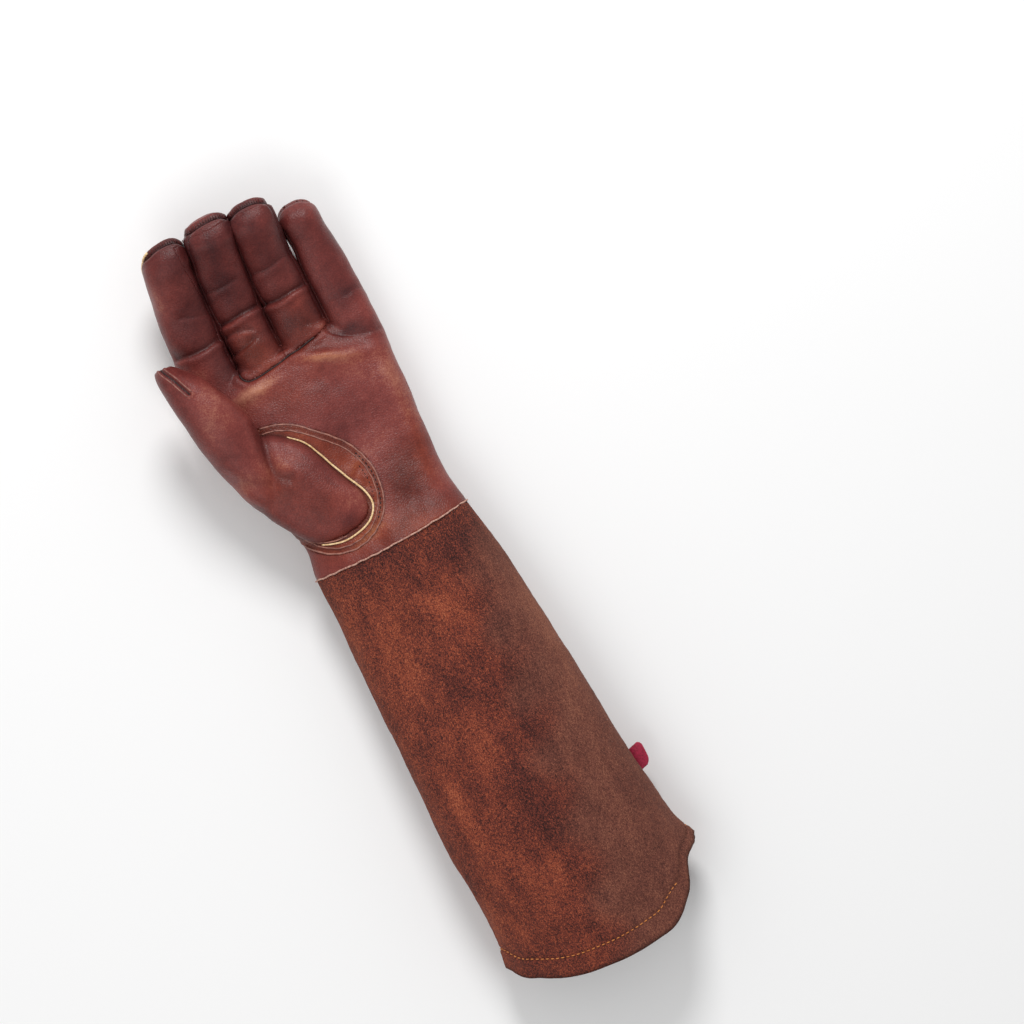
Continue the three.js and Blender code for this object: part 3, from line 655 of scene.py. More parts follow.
def grain_leather():
    made, tree, shader = material("grain_leather")
    where = place_of(tree)
    blotch = noise(tree, where, 30, 3, 0.5, 0.3)
    mottle = noise(tree, where, 240, 4, 0.6)
    pores = noise(tree, where, 1300, 3, 0.6)
    # The tone read from the points carries painted highlights and painted shade besides random tone;
    # the palest stop of the ramp is the colour of the painted highlights.
    mixed = blend(tree, (blotch, 0.34), (mottle, 0.24), (pores, 0.42), (attribute(tree, "tone_and_light"), 0.22))
    colour = ramp(tree, mixed, [
        (0.2, (0.058, 0.010, 0.0105)), (0.42, (0.128, 0.0225, 0.0195)),
        (0.58, (0.205, 0.040, 0.033)), (0.88, (0.44, 0.18, 0.115))])
    colour = mix(tree, attribute(tree, "warm"), colour, (1.05, 0.88, 0.45, 1), "MULTIPLY")
    # Painted shade: mixed towards near black in creases, grooves and seams, between the fingers and
    # round the thumb's ball.
    colour = mix(tree, attribute(tree, "painted_shade"), colour, (0.016, 0.004, 0.005, 1))
    cells = node(tree, "ShaderNodeTexVoronoi", {"Vector": where, "Scale": 820.0},
                 feature="DISTANCE_TO_EDGE").outputs["Distance"]
    normal = bump(tree, ramp(tree, cells, [(0.0, (0, 0, 0)), (0.25, (1, 1, 1))]), 0.27, 0.0003)
    feed(tree, shader, {
        "Base Color": colour,
        "Roughness": maths(tree, "MULTIPLY_ADD", mottle, 0.16, 0.32),
        "Normal": bump(tree, noise(tree, where, 520, 4, 0.6), 0.3, 0.0006, normal),
        "Specular IOR Level": 0.28,
    })
    return made


def suede_leather():
    made, tree, shader = material("suede")
    where = place_of(tree)
    stretched = node(tree, "ShaderNodeMapping", {"Vector": where, "Scale": (1.0, 0.45, 1.0)},
                     vector_type="POINT").outputs["Vector"]
    blotch = noise(tree, stretched, 34, 6, 0.66, 0.6)
    patches = noise(tree, stretched, 150, 5, 0.68, 0.3)
    nap = noise(tree, stretched, 1500, 3, 0.7)
    speck = noise(tree, where, 1900, 2, 0.6)
    mixed = blend(tree, (blotch, 0.32), (patches, 0.52), (nap, 1.1), (speck, 1.4))
    mixed = maths(tree, "SUBTRACT", mixed, 1.18)
    # The tone read from the points carries painted light and shade of the folds besides the suede's own
    # patches.
    mixed = maths(tree, "MULTIPLY_ADD", attribute(tree, "tone_and_light"), 0.15, mixed)
    rust = ramp(tree, mixed, [
        (0.2, (0.022, 0.009, 0.009)), (0.4, (0.09, 0.022, 0.018)),
        (0.53, (0.165, 0.036, 0.024)), (0.68, (0.285, 0.06, 0.028)), (0.92, (0.42, 0.125, 0.06))])
    # The greyer, smoother right side of the cuff: partly the suede's own nap, partly painted light
    # where that side turns to the light.
    dusty_and_lit = ramp(tree, mixed, [
        (0.15, (0.058, 0.02, 0.0165)), (0.5, (0.152, 0.05, 0.0355)), (0.85, (0.27, 0.11, 0.068))])
    colour = mix(tree, attribute(tree, "wear_and_light"), rust, dusty_and_lit)
    normal = bump(tree, nap, 0.6, 0.0011, bump(tree, speck, 0.6, 0.0004))
    feed(tree, shader, {
        # Painted shade: mixed towards near black in the seams, along the sides, at the hem's edge and
        # over the inside.
        "Base Color": mix(tree, attribute(tree, "painted_shade"), colour, (0.018, 0.006, 0.005, 1)),
        "Roughness": 0.95,
        "Specular IOR Level": 0.2,
        "Sheen Weight": 0.14,
        "Sheen Roughness": 0.6,
        "Sheen Tint": (0.6, 0.28, 0.18, 1),
        "Normal": bump(tree, patches, 0.3, 0.002, normal),
    })
    return made


def plain_thread(name, light, dark, rough, scale=900):
    made, tree, shader = material(name)
    where = place_of(tree)
    feed(tree, shader, {
        "Base Color": ramp(tree, noise(tree, where, scale, 3), [(0.3, dark), (0.62, light)]),
        "Roughness": rough,
        "Normal": bump(tree, noise(tree, where, 2 * scale, 3), 0.4, 0.0003),
    })
    return made


GRAIN = grain_leather()
SUEDE_LEATHER = suede_leather()
CREAM = plain_thread("cream_welt", (0.93, 0.69, 0.4), (0.55, 0.3, 0.11), 0.4)
PALE = plain_thread("pale_edge", (0.6, 0.36, 0.28), (0.26, 0.09, 0.07), 0.9)
ORANGE = plain_thread("hem_thread", (0.72, 0.26, 0.06), (0.4, 0.1, 0.02), 0.6)
DARK = plain_thread("dark_thread", (0.03, 0.009, 0.009), (0.012, 0.004, 0.004), 0.6)
MAROON = plain_thread("seam_thread", (0.09, 0.018, 0.016), (0.035, 0.008, 0.008), 0.6)
CRIMSON = plain_thread("crimson_tape", (0.42, 0.012, 0.055), (0.2, 0.006, 0.02), 0.75, 1400)
PIPING = plain_thread("patch_piping", (0.36, 0.15, 0.11), (0.14, 0.042, 0.034), 0.5, 500)


# Sharp creases that run across the hand: points of a line, depth, length of the slope beyond it,
# and the darkness of the painted shade in and beyond the crease
CREASES = [
    ([(-58, 135), (-50, 133), (-42, 133), (-32, 134.5)], 1.3, 4.6, 0.5),
    ([(-46, 153), (-38, 151), (-32, 149)], 0.4, 4.0, 0.25),
    ([(-29, 139.5), (-18, 140), (-6, 141)], 1.6, 3.8, 0.55),
    ([(-30, 133.5), (-23, 133), (-14, 130.5)], 0.7, 2.2, 0.28),
    ([(-30, 123), (-22, 124.5), (-15, 126.5)], 0.8, 2.2, 0.32),
    ([(-27, 158.5), (-18, 157.5), (-10, 158)], 0.4, 3.5, 0.2),
    ([(-5, 139.5), (6, 138.5), (20, 140)], 1.5, 3.8, 0.52),
    ([(-3, 156.5), (6, 156), (17, 157)], 0.45, 3.5, 0.25),
    ([(12, 121), (16, 119.5), (21, 120.5)], 0.6, 1.8, 0.2),
    ([(27, 126), (36, 125), (45, 126)], 0.2, 5.0, 0.12),
    ([(19, 112.5), (26, 107), (34, 104), (45, 101.5)], 0.45, 5.5, 0.22),
]
# Soft ridges and hollows of the palm: x, y, reach, half width, turn, height
HAND_RIDGES = [
    (11, 102.5, 15, 3.0, -24, 2.0), (30, 96, 12, 4.0, -12, 1.1), (-28, 101, 12, 3.6, 3, 1.7),
    (8, 90, 20, 6.0, -28, -0.9), (-20, 122, 9, 3.0, 4, 0.6), (18, 116, 5, 2.4, 70, 0.8),
    (36, 60, 40, 4.5, 86, 1.2), (24, 55, 26, 8.0, 80, -1.4), (-44, 125, 7, 5.0, 20, 0.5),
    (-12, 120, 8, 5.0, 90, 0.5), (8, 122, 10, 6.0, 90, 0.5),
]


def hand_skin():
    """The skin of palm and fingers: points, faces, and the finger that each point belongs to."""
    palm = table_rings(
        PALM, -0.025, 1.015, 0, PALM_WIDTH, PALM_LENGTH, PALM_DEPTH, 120, HAND_FOLDS)
    points, faces = skin_of([palm] + [finger_rings(finger) for finger in FINGERS], 7)
    fingers = np.where(points[:, 1] > 88)[0]
    gaps = [nearest_station(points[fingers], spine_of(finger, 1.0)[1])[0] for finger in FINGERS]
    label = np.full(len(points), -1)
    label[fingers] = np.argmin(gaps, axis=0)
    for number, finger in enumerate(FINGERS):
        mine = label == number
        points[mine, 0] -= finger["part"] * parting(points[mine, 1])
    return points, faces, label


def nearest_station(points, spine):
    """The distance of each point to the nearest station of a spine, and that station's number."""
    gaps = np.stack([np.linalg.norm(points - station, axis=1) for station in spine])
    return gaps.min(axis=0), gaps.argmin(axis=0)


def places_on(points, label):
    """Each point's length along its finger, share across it, height over its spine, and way up."""
    place = np.zeros((len(points), 3))
    way = np.tile([0.0, 0.0, 1.0], (len(points), 1))
    for number, finger in enumerate(FINGERS):
        mine = np.where((label == number) & (points[:, 1] > 90))[0]
        length, spine, up, share = spine_of(finger, count=280)
        _, k = nearest_station(points[mine], spine)
        off = points[mine] - spine[k]
        way[mine] = up[k]
        place[mine, 0] = length[k]
        place[mine, 1] = off[:, 0] / half_width(finger, share[k])
        place[mine, 2] = (off * up[k]).sum(axis=1)
    return place, way


def hand_fields(points, label, place):
    """Fields that are zero on the seams of the back and of the fronts, whether points face a gap
    and lie on a finger, and their shares along its tip."""
    length, across, lift = place.T
    ends, domes = np.array([(FINGER_ROOT + f["free"], DOME * f["width"]) for f in FINGERS]).T
    known = np.maximum(label, 0)
    tip = (length - (ends[known] - domes[known])) / domes[known]
    on_finger = (label >= 0) & (points[:, 1] > PALM_LENGTH - 1)
    inner = ~(((label == 0) & (across < 0)) | ((label == len(FINGERS) - 1) & (across > 0)))
    height = np.where(on_finger, lift, points[:, 2] - FINGER_LEVEL)
    half = GUSSET / 2 * np.where(on_finger, 1 - ease(0.15, 0.8, tip), 1)
    return height + half, height - half, inner, on_finger, tip


def facing_gap(label, across, number):
    """Whether points lie on either side of the gap after a finger."""
    return ((label == number) & (across > 0)) | ((label == number + 1) & (across < 0))


def settle(points, normals, label):
    """Moves the points next to a seam onto it, so that panels end in clean lines."""
    place, way = places_on(points, label)
    back, front, inner, _, _ = hand_fields(points, label, place)
    steep = np.abs((normals * way).sum(axis=1)) < 0.75
    for field, mine in ((back, steep), (front, steep & inner)):
        near = (np.abs(field) < 0.5 * VOXEL) & mine
        points[near] -= (field[:, None] * way)[near]
    mouth = points[:, 1] - wrist_dip(points[:, 0] / WRIST_HALF)
    near = np.abs(mouth) < 0.5 * VOXEL
    points[near, 1] -= mouth[near]
    for path in (SEAM_PLAN, PATCH_PLAN):
        spot, gap = nearest_on(path, points)
        near = (gap < 0.5 * VOXEL) & (normals[:, 2] > 0.5)
        points[near, :2] = spot[near]


def ball_gap(points):
    return nearest_on(np.vstack([BALL_PLAN, BALL_PLAN[:1]]), points)[1]


def creased(points, x, y, upper):
    """The shift of the sharp creases, and the painted shade in and beyond them."""
    shift = np.zeros(len(points))
    dark = np.zeros(len(points))
    wobble = 0.35 * ripples(points, 14, 5)
    for line, depth, slope, shade in CREASES:
        line = smooth_path(line, 24)
        beyond = y + wobble - np.interp(x, line[:, 0], line[:, 1])
        window = ease(line[0, 0] - 2, line[0, 0] + 1.5, x)
        window *= 1 - ease(line[-1, 0] - 1.5, line[-1, 0] + 2, x)
        window *= upper * (np.abs(beyond) < 30)
        dip = np.where(beyond > 0, np.exp(-np.maximum(beyond, 0) / slope), bell(beyond, 0, 0.8))
        shift += 1.6 * window * depth * (0.3 * bell(beyond, -2.8, 2.0) - dip)
        dark = np.maximum(dark, 1.4 * window * shade * dip)
    return shift, dark


def build_hand():
    points, faces, label = hand_skin()
    normals = normals_of(points, faces)
    settle(points, normals, label)
    place, _ = places_on(points, label)
    across = place[:, 1]
    back, front, inner, on_finger, tip = hand_fields(points, label, place)
    x, y, z = points.T
    upper = ease(-0.1, 0.5, normals[:, 2])
    lower = ease(-0.1, 0.5, -normals[:, 2])
    top = z > FINGER_LEVEL

    # Seams of the sides and gussets, and the closed seam round each fingertip, with painted shade in
    # their grooves
    web = (y > PALM_LENGTH + 2) & inner
    side_gap = np.where(web, np.minimum(np.abs(back), 0.8 + np.abs(front)), np.abs(back))
    at_tip = ease(0.15, 0.6, tip) * on_finger * (label < 3)
    half = 0.75 + 0.45 * at_tip
    groove = bell(side_gap, 0, half)
    shift = (0.4 + 0.9 * at_tip) * (0.45 * bell(side_gap, 2.4 + half, 1.1) - groove)
    shade_marks = [(0.3 + 0.6 * at_tip) * groove]

    # What the smoothing of the skin took away, and fingers that touch but for two places
    shift += 0.4 - 1.1 * ease(0.2, 0.9, tip) * on_finger
    aside = on_finger * inner * np.abs(normals[:, 0])
    shift += aside * 0.3 + aside * 0.5 * ((label == 3) & (x < 30)) * (1 - bell(y, 160, 9))
    by_index, by_little = (facing_gap(label, across, number) for number in (0, 2))
    shift -= aside * 0.6 * (by_little * bell(y, 159, 5.5) + by_index * bell(y, 175.5, 4.0))
    shift += aside * 0.6 * by_little * ease(167, 173, y)

    # Painted shade on the flanks of the fingers beside the gaps between them, broader on their right
    flank_shade = 0.36 * ease(np.where(label == 0, -0.2, 0.3), 1.0, across)
    flank_shade += 0.24 * ease(0.5, 1.0, -across)
    shade_marks += [flank_shade * on_finger * inner]

    # The seam under the middle and ring fingers, with painted shade along its groove
    _, seam_gap = nearest_on(SEAM_PLAN, points)
    seam_fade = upper * top * (1 - ease(PALM_LENGTH - 3, PALM_LENGTH + 4, y))
    shift += seam_fade * (0.5 * bell(seam_gap, 2.7, 1.6) - bell(seam_gap, 0, 0.75))
    shade_marks += [seam_fade * 0.6 * bell(seam_gap, 0, 0.7)]

    # The crescent patch, raised over the palm with a stitched border, and the thumb's foot, with
    # painted shade in the border's groove and painted shadow outside the patch's edge and round the
    # foot
    side = [[PALM_LEFT - 20, 20], [PALM_LEFT - 20, 90]]
    patch = inside(np.vstack([PATCH_PLAN, side]), points) & top & (normals[:, 2] > 0)
    ball = inside(BALL_PLAN, points) & (normals[:, 2] > 0) & top
    foot_gap = ball_gap(points)
    _, ridge_gap = nearest_on(PATCH_PLAN, points)
    border = bell(ridge_gap, 1.9, 0.9)
    shift += patch * (0.7 * ease(0, 0.9, ridge_gap) - 0.45 * border)
    shift += patch * 0.35 * ripples(points, 7, 15) * bell(x, 0, 9) * bell(y, 37, 16)
    outside = ~patch & top & (normals[:, 2] > 0.2)
    shade_marks += [patch * 0.35 * border, outside * 0.5 * bell(ridge_gap, 0, 0.7),
              0.55 * top * bell(np.where(ball, 0, foot_gap), 0, 1.6)]

    fold_shift, fold_shade = creased(points, x, y, upper)
    shift += fold_shift + bumps(HAND_RIDGES, x, y) * upper

    # Small unevenness, more by the wrist, and the gathers of the elastic on the back
    shift += rough(points, (0.35, 24, 11), (0.09, 9, 12))
    shift += 0.3 * bell(np.maximum(y, 0), 0, 12) * ripples(points, 10, 13, (1, 3, 3))
    fan = x * (1 - 0.006 * (y - ELASTIC))
    wave = np.sin(2 * math.pi * fan / 7.0 + 1.2 * ripples(points, 25, 14))
    shift += lower * (0.75 * bell(y, ELASTIC, 15) * wave - 1.6 * bell(y, ELASTIC, 9))

    fields = dict(x=x, y=y, z=z, back=back, front=front, inner=inner, across=across, ball=ball,
                  gap=foot_gap, patch=patch, u=in_front(points))
    fields = {key: values[faces].mean(axis=1) for key, values in fields.items()}
    points = points + normals * shift[:, None]
    points[:, 1] -= TIP_SHORTER[label] * ease(-4, 0.5, tip) * on_finger
    points[:, 2] = np.maximum(points[:, 2], 0.15)
    # Random tone, and the painted highlights and painted shade of the table
    tone_and_light = 0.25 * ripples(points, 30, 21) + bumps(HAND_LIGHT_AND_SHADE, x, y) * upper
    # Painted shade: the fingers darker, as they curl away from the light, and darker still on their
    # sides by the gaps
    tone_and_light -= 0.35 * ease(PALM_LENGTH, PALM_LENGTH + 14, y)
    tone_and_light -= 0.7 * ease(0.55, 1, np.abs(across)) * on_finger * inner
    warm = np.clip(bumps(HAND_WARM, x, y) * upper + 0.9 * patch, 0, 1.2)
    # The strongest of the painted shades above, with the creases' painted shade
    painted_shade = np.max(shade_marks + [fold_shade], axis=0)
    shades = dict(tone_and_light=np.clip(tone_and_light, -1.6, 1.5), painted_shade=painted_shade, warm=warm)
    cut_panels(points, faces, shades, label[faces].max(axis=1), **fields)
    return tree_of(points, faces)


def in_front(points):
    """Whether each point of the plan lies beyond the seam under the middle and ring fingers."""
    return inside(np.vstack([SEAM_PLAN, SEAM_PLAN[-1] + [0, 60], SEAM_PLAN[0] + [0, 60]]), points)


def cut_panels(points, faces, shades, finger_of, x, y, z, back, front, inner, across, ball, gap,
               patch, u):
    """Each face goes to the panel that its middle lies in."""
    fore = back >= 0
    gusset = fore & (front < 0) & (inner > 0.5) & (y > PALM_LENGTH - 1.5)
    in_u = (u > 0.5) & ~gusset & fore & (z > SEAM_TOP - 2)
    by_middle = np.where(y > PALM_LENGTH + 4, finger_of == 1, x < -5.6)
    chosen = {"middle_finger_front": in_u & by_middle, "ring_finger_front": in_u & ~by_middle}
    gussets = ("gusset_index_middle", "gusset_middle_ring", "gusset_ring_little")
    for number, name in enumerate(gussets):
        chosen[name] = gusset & facing_gap(finger_of, across, number)
    chosen.update(thumb_patch=(patch > 0.5) & fore, back_panel=~fore, palm_panel=fore)
    taken = ((ball > 0.5) & (gap > 2.2)) | (y < wrist_dip(x / WRIST_HALF) - 0.05)
    for name, mine in chosen.items():
        panel_of(name, points, faces[mine & ~taken], shades)
        taken = taken | mine


def tip_stitches(hand):
    """The ladder of dark stitches in the seam round the tips of three fingers."""
    rungs = ((-1.2, 0.1), (-0.5, 0.5), (0.5, 0.5), (1.2, 0.1))
    parts = []
    for finger in FINGERS[:3]:
        length, spine, up, _ = spine_of(finger)
        dome = DOME * finger["width"]
        for across in np.linspace(-0.86, 0.86, 16):
            at = length[-1] - dome + dome * 0.97 * (1 - abs(across) ** 2.5) ** 0.4
            centre, lift = read_at(at, length, spine), read_at(at, length, up)
            centre[0] += across * half_width(finger, 1.0)
            seat, normal = (np.array(found) for found in hand.find_nearest(Vector(centre))[:2])
            rung = np.array([seat + lift * step + normal * over for step, over in rungs])
            parts.append(tube(rung, 0.24, 6, upright=normal + 1e-3))
    add("fingertip_stitches", merged(parts), MAROON, "grain_leather")


# Places of a warmer, browner colour: x, y, reach, half width, turn, share
HAND_WARM = [
    (5, 4, 45, 9, -5, 0.8), (22, 26, 20, 13, 60, 0.7), (14, 101, 28, 8, -25, 0.3),
    (-19, 120, 9, 14, 0, 0.8), (9, 122, 13, 14, 0, 0.6), (-15, 92, 20, 10, -10, 0.35),
    (-38, 52, 15, 12, 40, 0.5), (-24, 33, 14, 12, 30, 0.4), (36, 40, 25, 5, 80, 0.4),
]
# Painted highlights and painted shade, as lighter and darker places: x, y, reach, half width, turn,
# tone
HAND_LIGHT_AND_SHADE = [
    (11, 101.5, 12, 2.4, -22, 1.3), (30, 96, 13, 5, -12, 0.4), (-27, 102, 11, 3, 4, 1.1),
    (-17.5, 131, 6, 2.2, 8, 0.7), (-21, 126.5, 5, 2, 0, 0.7), (14, 133.5, 5, 2.5, 30, 0.5),
    (18, 117.5, 4, 2.5, 0, 0.6), (30, 109, 9, 2.5, 10, -0.7),
    (5, 88, 20, 5, -28, -0.3), (-19, 122, 9, 8, 0, -0.7), (8, 124, 12, 9, 0, -0.9),
    (-47, 122, 9, 7, 0, 0.9), (20, 24, 10, 8, 0, -0.4),
    (38, 60, 42, 6, 86, 0.45), (20, 70, 26, 12, 80, 0.25), (24, 27, 17, 10, 80, -0.55),
    (15, 8, 30, 5, 5, -0.25), (2, 15, 12, 6, 30, 0.3),
    (-20, 122, 9, 4, 4, 0.5), (17, 114, 5, 4, 60, 0.5),
    (-52, 165, 30, 3.5, 84, 0.45), (-38, 165, 26, 5, 76, -0.5), (-15, 172, 20, 4, 80, -0.6),
    (-21, 168, 20, 3.5, 80, 0.1), (9, 170, 20, 5, 84, -0.45),
    (36, 118, 8, 6, 0, -0.3), (38, 126.5, 6, 4, 25, -0.9), (34, 106.5, 11, 3.2, -10, -0.6),
    (-7, 8, 13, 4.5, 8, 0.8),
]
# Painted highlights and painted shade of the thumb, in the same columns
THUMB_LIGHT_AND_SHADE = [
    (-58, 92, 34, 8, 70, 0.7), (-42, 55, 14, 7, 60, 0.45), (-25, 35, 20, 9, 40, -0.2),
    (-36, 48, 8, 6, 60, -0.4), (-14, 20, 6, 5, 40, -0.7), (-55, 60, 12, 5, 60, 0.2),
    (-39, 56, 7, 7, 0, -0.3),
]
# Lighter and darker places of the cuff's palm side, in the same columns: partly the suede's own
# patches, partly painted light and shade of its folds
CUFF_TONES_AND_LIGHT = [
    (7.5, -38.6, 18, 4.5, -50, 1.0), (-20, -64, 18, 5, 80, 0.8), (-9, -120, 20, 5, 88, 0.7),
    (-30.7, -143, 24, 3.5, 90, 0.9), (-36.5, -135, 26, 2.5, 90, -0.5), (-1, -188, 9, 6, 60, 0.8),
    (-42, -200, 14, 4, 85, 0.7), (13, -202, 14, 5, 20, -0.7), (-23, -195, 16, 5, 85, -0.6),
    (23, -117, 12, 6, 60, -0.5), (28, -15, 14, 8, 60, -0.5), (-34, -42, 18, 5, 85, -0.4),
    (32, -54, 42, 4, 84, -0.4), (50, -68, 28, 4, 101, 0.9), (-37, -85, 20, 6, 88, 0.5),
    (24, -130, 50, 6, 89, -0.15), (-8, -85, 12, 6, 60, -0.5), (5, -150, 30, 5, 84, -0.4),
    (-15, -6, 22, 5, 5, -0.4), (16, -172, 14, 7, 60, -0.3), (23, -86, 10, 5, 85, 0.3),
]


# Creases of the thumb: points of a line, depth, half width, and the darkness of the painted shade in
# the crease
THUMB_CREASES = [
    ([(-66, 134.5), (-65, 131), (-62, 125), (-60, 120), (-57.8, 114.7)], 1.1, 0.7, 0.85),
    ([(-35, 85), (-37, 72), (-38, 63), (-36.5, 57.5), (-32.5, 53.5)], 0.75, 2.4, 0.4),
    ([(-60, 66), (-50, 58), (-42, 54)], 0.8, 3.0, 0.1),
]


def outside_by(skin, point):
    """How far a point lies outside a skin, negative inside it."""
    seat, normal, _, _ = skin.find_nearest(Vector(point))
    return (Vector(point) - seat).dot(normal)


def build_thumb(hand):
    free = table_rings(THUMB, THUMB[0, 0], THUMB[-1, 0], 0.97 * PALM_LEFT, THUMB_WIDTH, THUMB_REACH,
                       THUMB_DEPTH, 72)
    points, faces = skin_of([ball_rings(), free], 9)
    normals = normals_of(points, faces)
    x, y, z = points.T
    upper = ease(-0.1, 0.5, normals[:, 2])
    shift = rough(points, (0.3, 22, 31), (0.07, 8, 32)) + 0.45
    shift += 0.9 * bell(x, -54, 9) * bell(y, 36, 17) + 0.4 * bell(x, -66, 6) * bell(y, 75, 22)
    # Painted shade round the foot of the ball, where it meets the palm, and in the creases
    painted_shade = 0.45 * bell(ball_gap(points), 0, 2.2) * (z < 38)
    lips = np.zeros(len(points))
    for line, depth, width, dark in THUMB_CREASES:
        _, gap = nearest_on(smooth_path(line, 24), points)
        dip = bell(gap, 0, width) * upper
        shift += 0.6 * depth * bell(gap, 2.3 * width, 1.1 * width) * upper - depth * dip
        lips = np.maximum(lips, dark * bell(gap, 2.3 * width, 0.9 * width) * upper)
        painted_shade = np.maximum(painted_shade, dark * dip)
    warm = bumps(HAND_WARM, x, y) * upper
    # The table's painted highlights and painted shade, lighter lips beside the creases, and random tone
    tone_and_light = bumps(THUMB_LIGHT_AND_SHADE, x, y) * upper + 0.55 * lips
    points = points + normals * shift[:, None]
    tone_and_light += 0.3 * ripples(points, 28, 33)
    shown = np.array([outside_by(hand, point) > -1.8 for point in points])
    keep = shown[faces].any(axis=1)
    panel_of("thumb", points, faces[keep], dict(tone_and_light=tone_and_light, painted_shade=painted_shade, warm=warm))
    return tree_of(points, faces)


# Cuff

def cuff_line(along, inset, panel):
    """Points across one panel of the cuff, from its right seam to its left, evenly spaced."""
    left, right, low, high, square = row_of(CUFF, along)
    left, right = -left * HEM_WIDTH, right * HEM_WIDTH
    low, high = low * CUFF_DEPTH, high * CUFF_DEPTH
    seam = np.interp(along, [0, 0.3, 1.05], [SEAM_LOW + 1.5, 0.33 * CUFF_DEPTH, 0.36 * CUFF_DEPTH])
    level, rise = (low + high) / 2, (high - low) / 2
    lean = (seam - level) / rise
    tilt = math.asin(np.clip(lean, -1, 1) * abs(lean) ** (square / 2 - 1))
    start = tilt if panel == "palm" else 2 * math.pi + tilt
    angle = np.linspace(start, math.pi - tilt, 500)
    across, up = (rounded(wave, 2 / square) for wave in (np.cos(angle), np.sin(angle)))
    x = (left + right) / 2 + across * ((right - left) / 2 - inset)
    climb = spline(across, HEM_CLIMB[:, 0], HEM_CLIMB[:, 1])
    y = (wrist_dip(across) - 0.3) * (1 - along) + (climb - HEM_LOW) * along
    z = level + up * (rise - inset) - bumps(CUFF_FOLDS, x, y) * np.maximum(up, 0)
    return evenly(np.stack([x, y, np.maximum(z, inset + 0.1)], axis=1), COLUMNS)


def stitch_inset(x):
    """How far above the hem's edge its stitches run, at points across the hem."""
    return 10.3 - 4.8 * ease(45, 62, x)


def cuff_profile():
    """Shares along the cuff and insets: down the outside, round the hem, and up the inside."""
    down = np.linspace(0, 1, ROWS)
    turn = np.linspace(0, math.pi, 8)[1:-1]
    up = down[::-1]
    alongs = np.concatenate([down, 1 + 0.0015 * np.sin(turn), up])
    walls = np.where(up > 1 - HEM_FOLD / CUFF_RUN, HEM_WALL, SUEDE)
    insets = np.concatenate([np.zeros(ROWS), HEM_WALL / 2 * (1 - np.cos(turn)), walls])
    return alongs, insets


def cuff_faces(rows):
    """The faces of a cuff panel, with its two side edges closed between outside and inside."""
    faces = net(rows, COLUMNS, ring=False, loop=True)
    for c in (0, COLUMNS - 1):
        for r in range(rows // 2 - 1):
            a, b, e, d = ((row * COLUMNS + c) for row in (r, r + 1, rows - 2 - r, rows - 1 - r))
            faces.append((a, b, e, d))
    return faces


def build_cuff():
    sheets = {}
    profile = cuff_profile()
    rows = len(profile[0])
    column = np.arange(COLUMNS)
    seam = SEAM_STEP * np.tile(np.minimum(column, COLUMNS - 1 - column), rows)
    alongs, insets = (np.repeat(values, COLUMNS) for values in profile)
    outer = insets == 0
    hem = (1 - alongs) * CUFF_RUN
    for panel in ("palm", "back"):
        grid = np.array([cuff_line(along, inset, panel) for along, inset in zip(*profile)])
        flat = grid.reshape(-1, 3)
        out = unit((flat - [3.0, 0, 22.0]) * [0.5, 0, 1])
        thread = np.tile(stitch_inset(grid[LAST_ROW, :, 0]), rows)
        band = 1 - ease(-1.5, 1.5, hem - thread)
        pull = bell(hem, thread, 0.9)
        shift = rough(flat, (1.1, 55, 41, (1, 1.8, 1)), (0.45, 18, 42), (0.16, 5, 43), (0.07, 2.4, 44))
        shift *= (1 - 0.75 * bell(flat[:, 1], 0, 16)) * (0.3 + 0.7 * np.abs(out[:, 2]))
        shift += outer * (0.5 * band - 0.7 * pull - 1.2 * bell(seam, 0, 1) + 0.5 * bell(seam, 3.5, 2))
        moved = flat + out * shift[:, None]
        moved[:, 2] = np.maximum(moved[:, 2], 0.1 + insets)
        # Painted shade in the side seams, in the groove that the stitches pull, and in a broad band
        # along the sides
        painted_shade = np.maximum(0.6 * bell(seam, 0, 1.2) + 0.35 * pull, 0.42 * bell(seam, 0, 5)) * outer
        # Painted shade at the hem's edge and over the inside of the cuff
        edge = np.where(outer, 0.75 * bell(hem, 0, 1.3), 0.35 + 0.5 * (hem < 0.5))
        x, y, _ = flat.T
        # Random tone; on the palm side also the table's lighter and darker places, partly painted light
        # and shade
        tone_and_light = 0.3 * ripples(flat, 45, 45, (1, 1.6, 1))
        wear_and_light = np.zeros(len(flat))
        if panel == "palm":
            tone_and_light += bumps(CUFF_TONES_AND_LIGHT, x, y)
            # The greyer, smoother right side: partly the suede's own nap, partly painted light where
            # that side turns to the light
            border = 33 + 0.11 * (y + 50) + 5 * ripples(flat, 30, 61)
            wear_and_light = 0.9 * ease(-16, 12, x - border) * (1 - ease(-22, -4, y))
        name = f"cuff_{panel}_panel"
        piece = new_object(name + "_suede", moved, cuff_faces(rows), SUEDE_LEATHER)
        shaded(piece, dict(tone_and_light=tone_and_light, painted_shade=np.maximum(painted_shade, edge), wear_and_light=wear_and_light))
        make_outward(piece)
        finished(piece, "suede", name)
        sheets[panel] = moved.reshape(grid.shape), out.reshape(grid.shape)
    return sheets


def make_outward(piece):
    editor = bmesh.new()
    editor.from_mesh(piece.data)
    bmesh.ops.recalc_face_normals(editor, faces=editor.faces)
    editor.to_mesh(piece.data)
    editor.free()


# Stitches, cords and threads

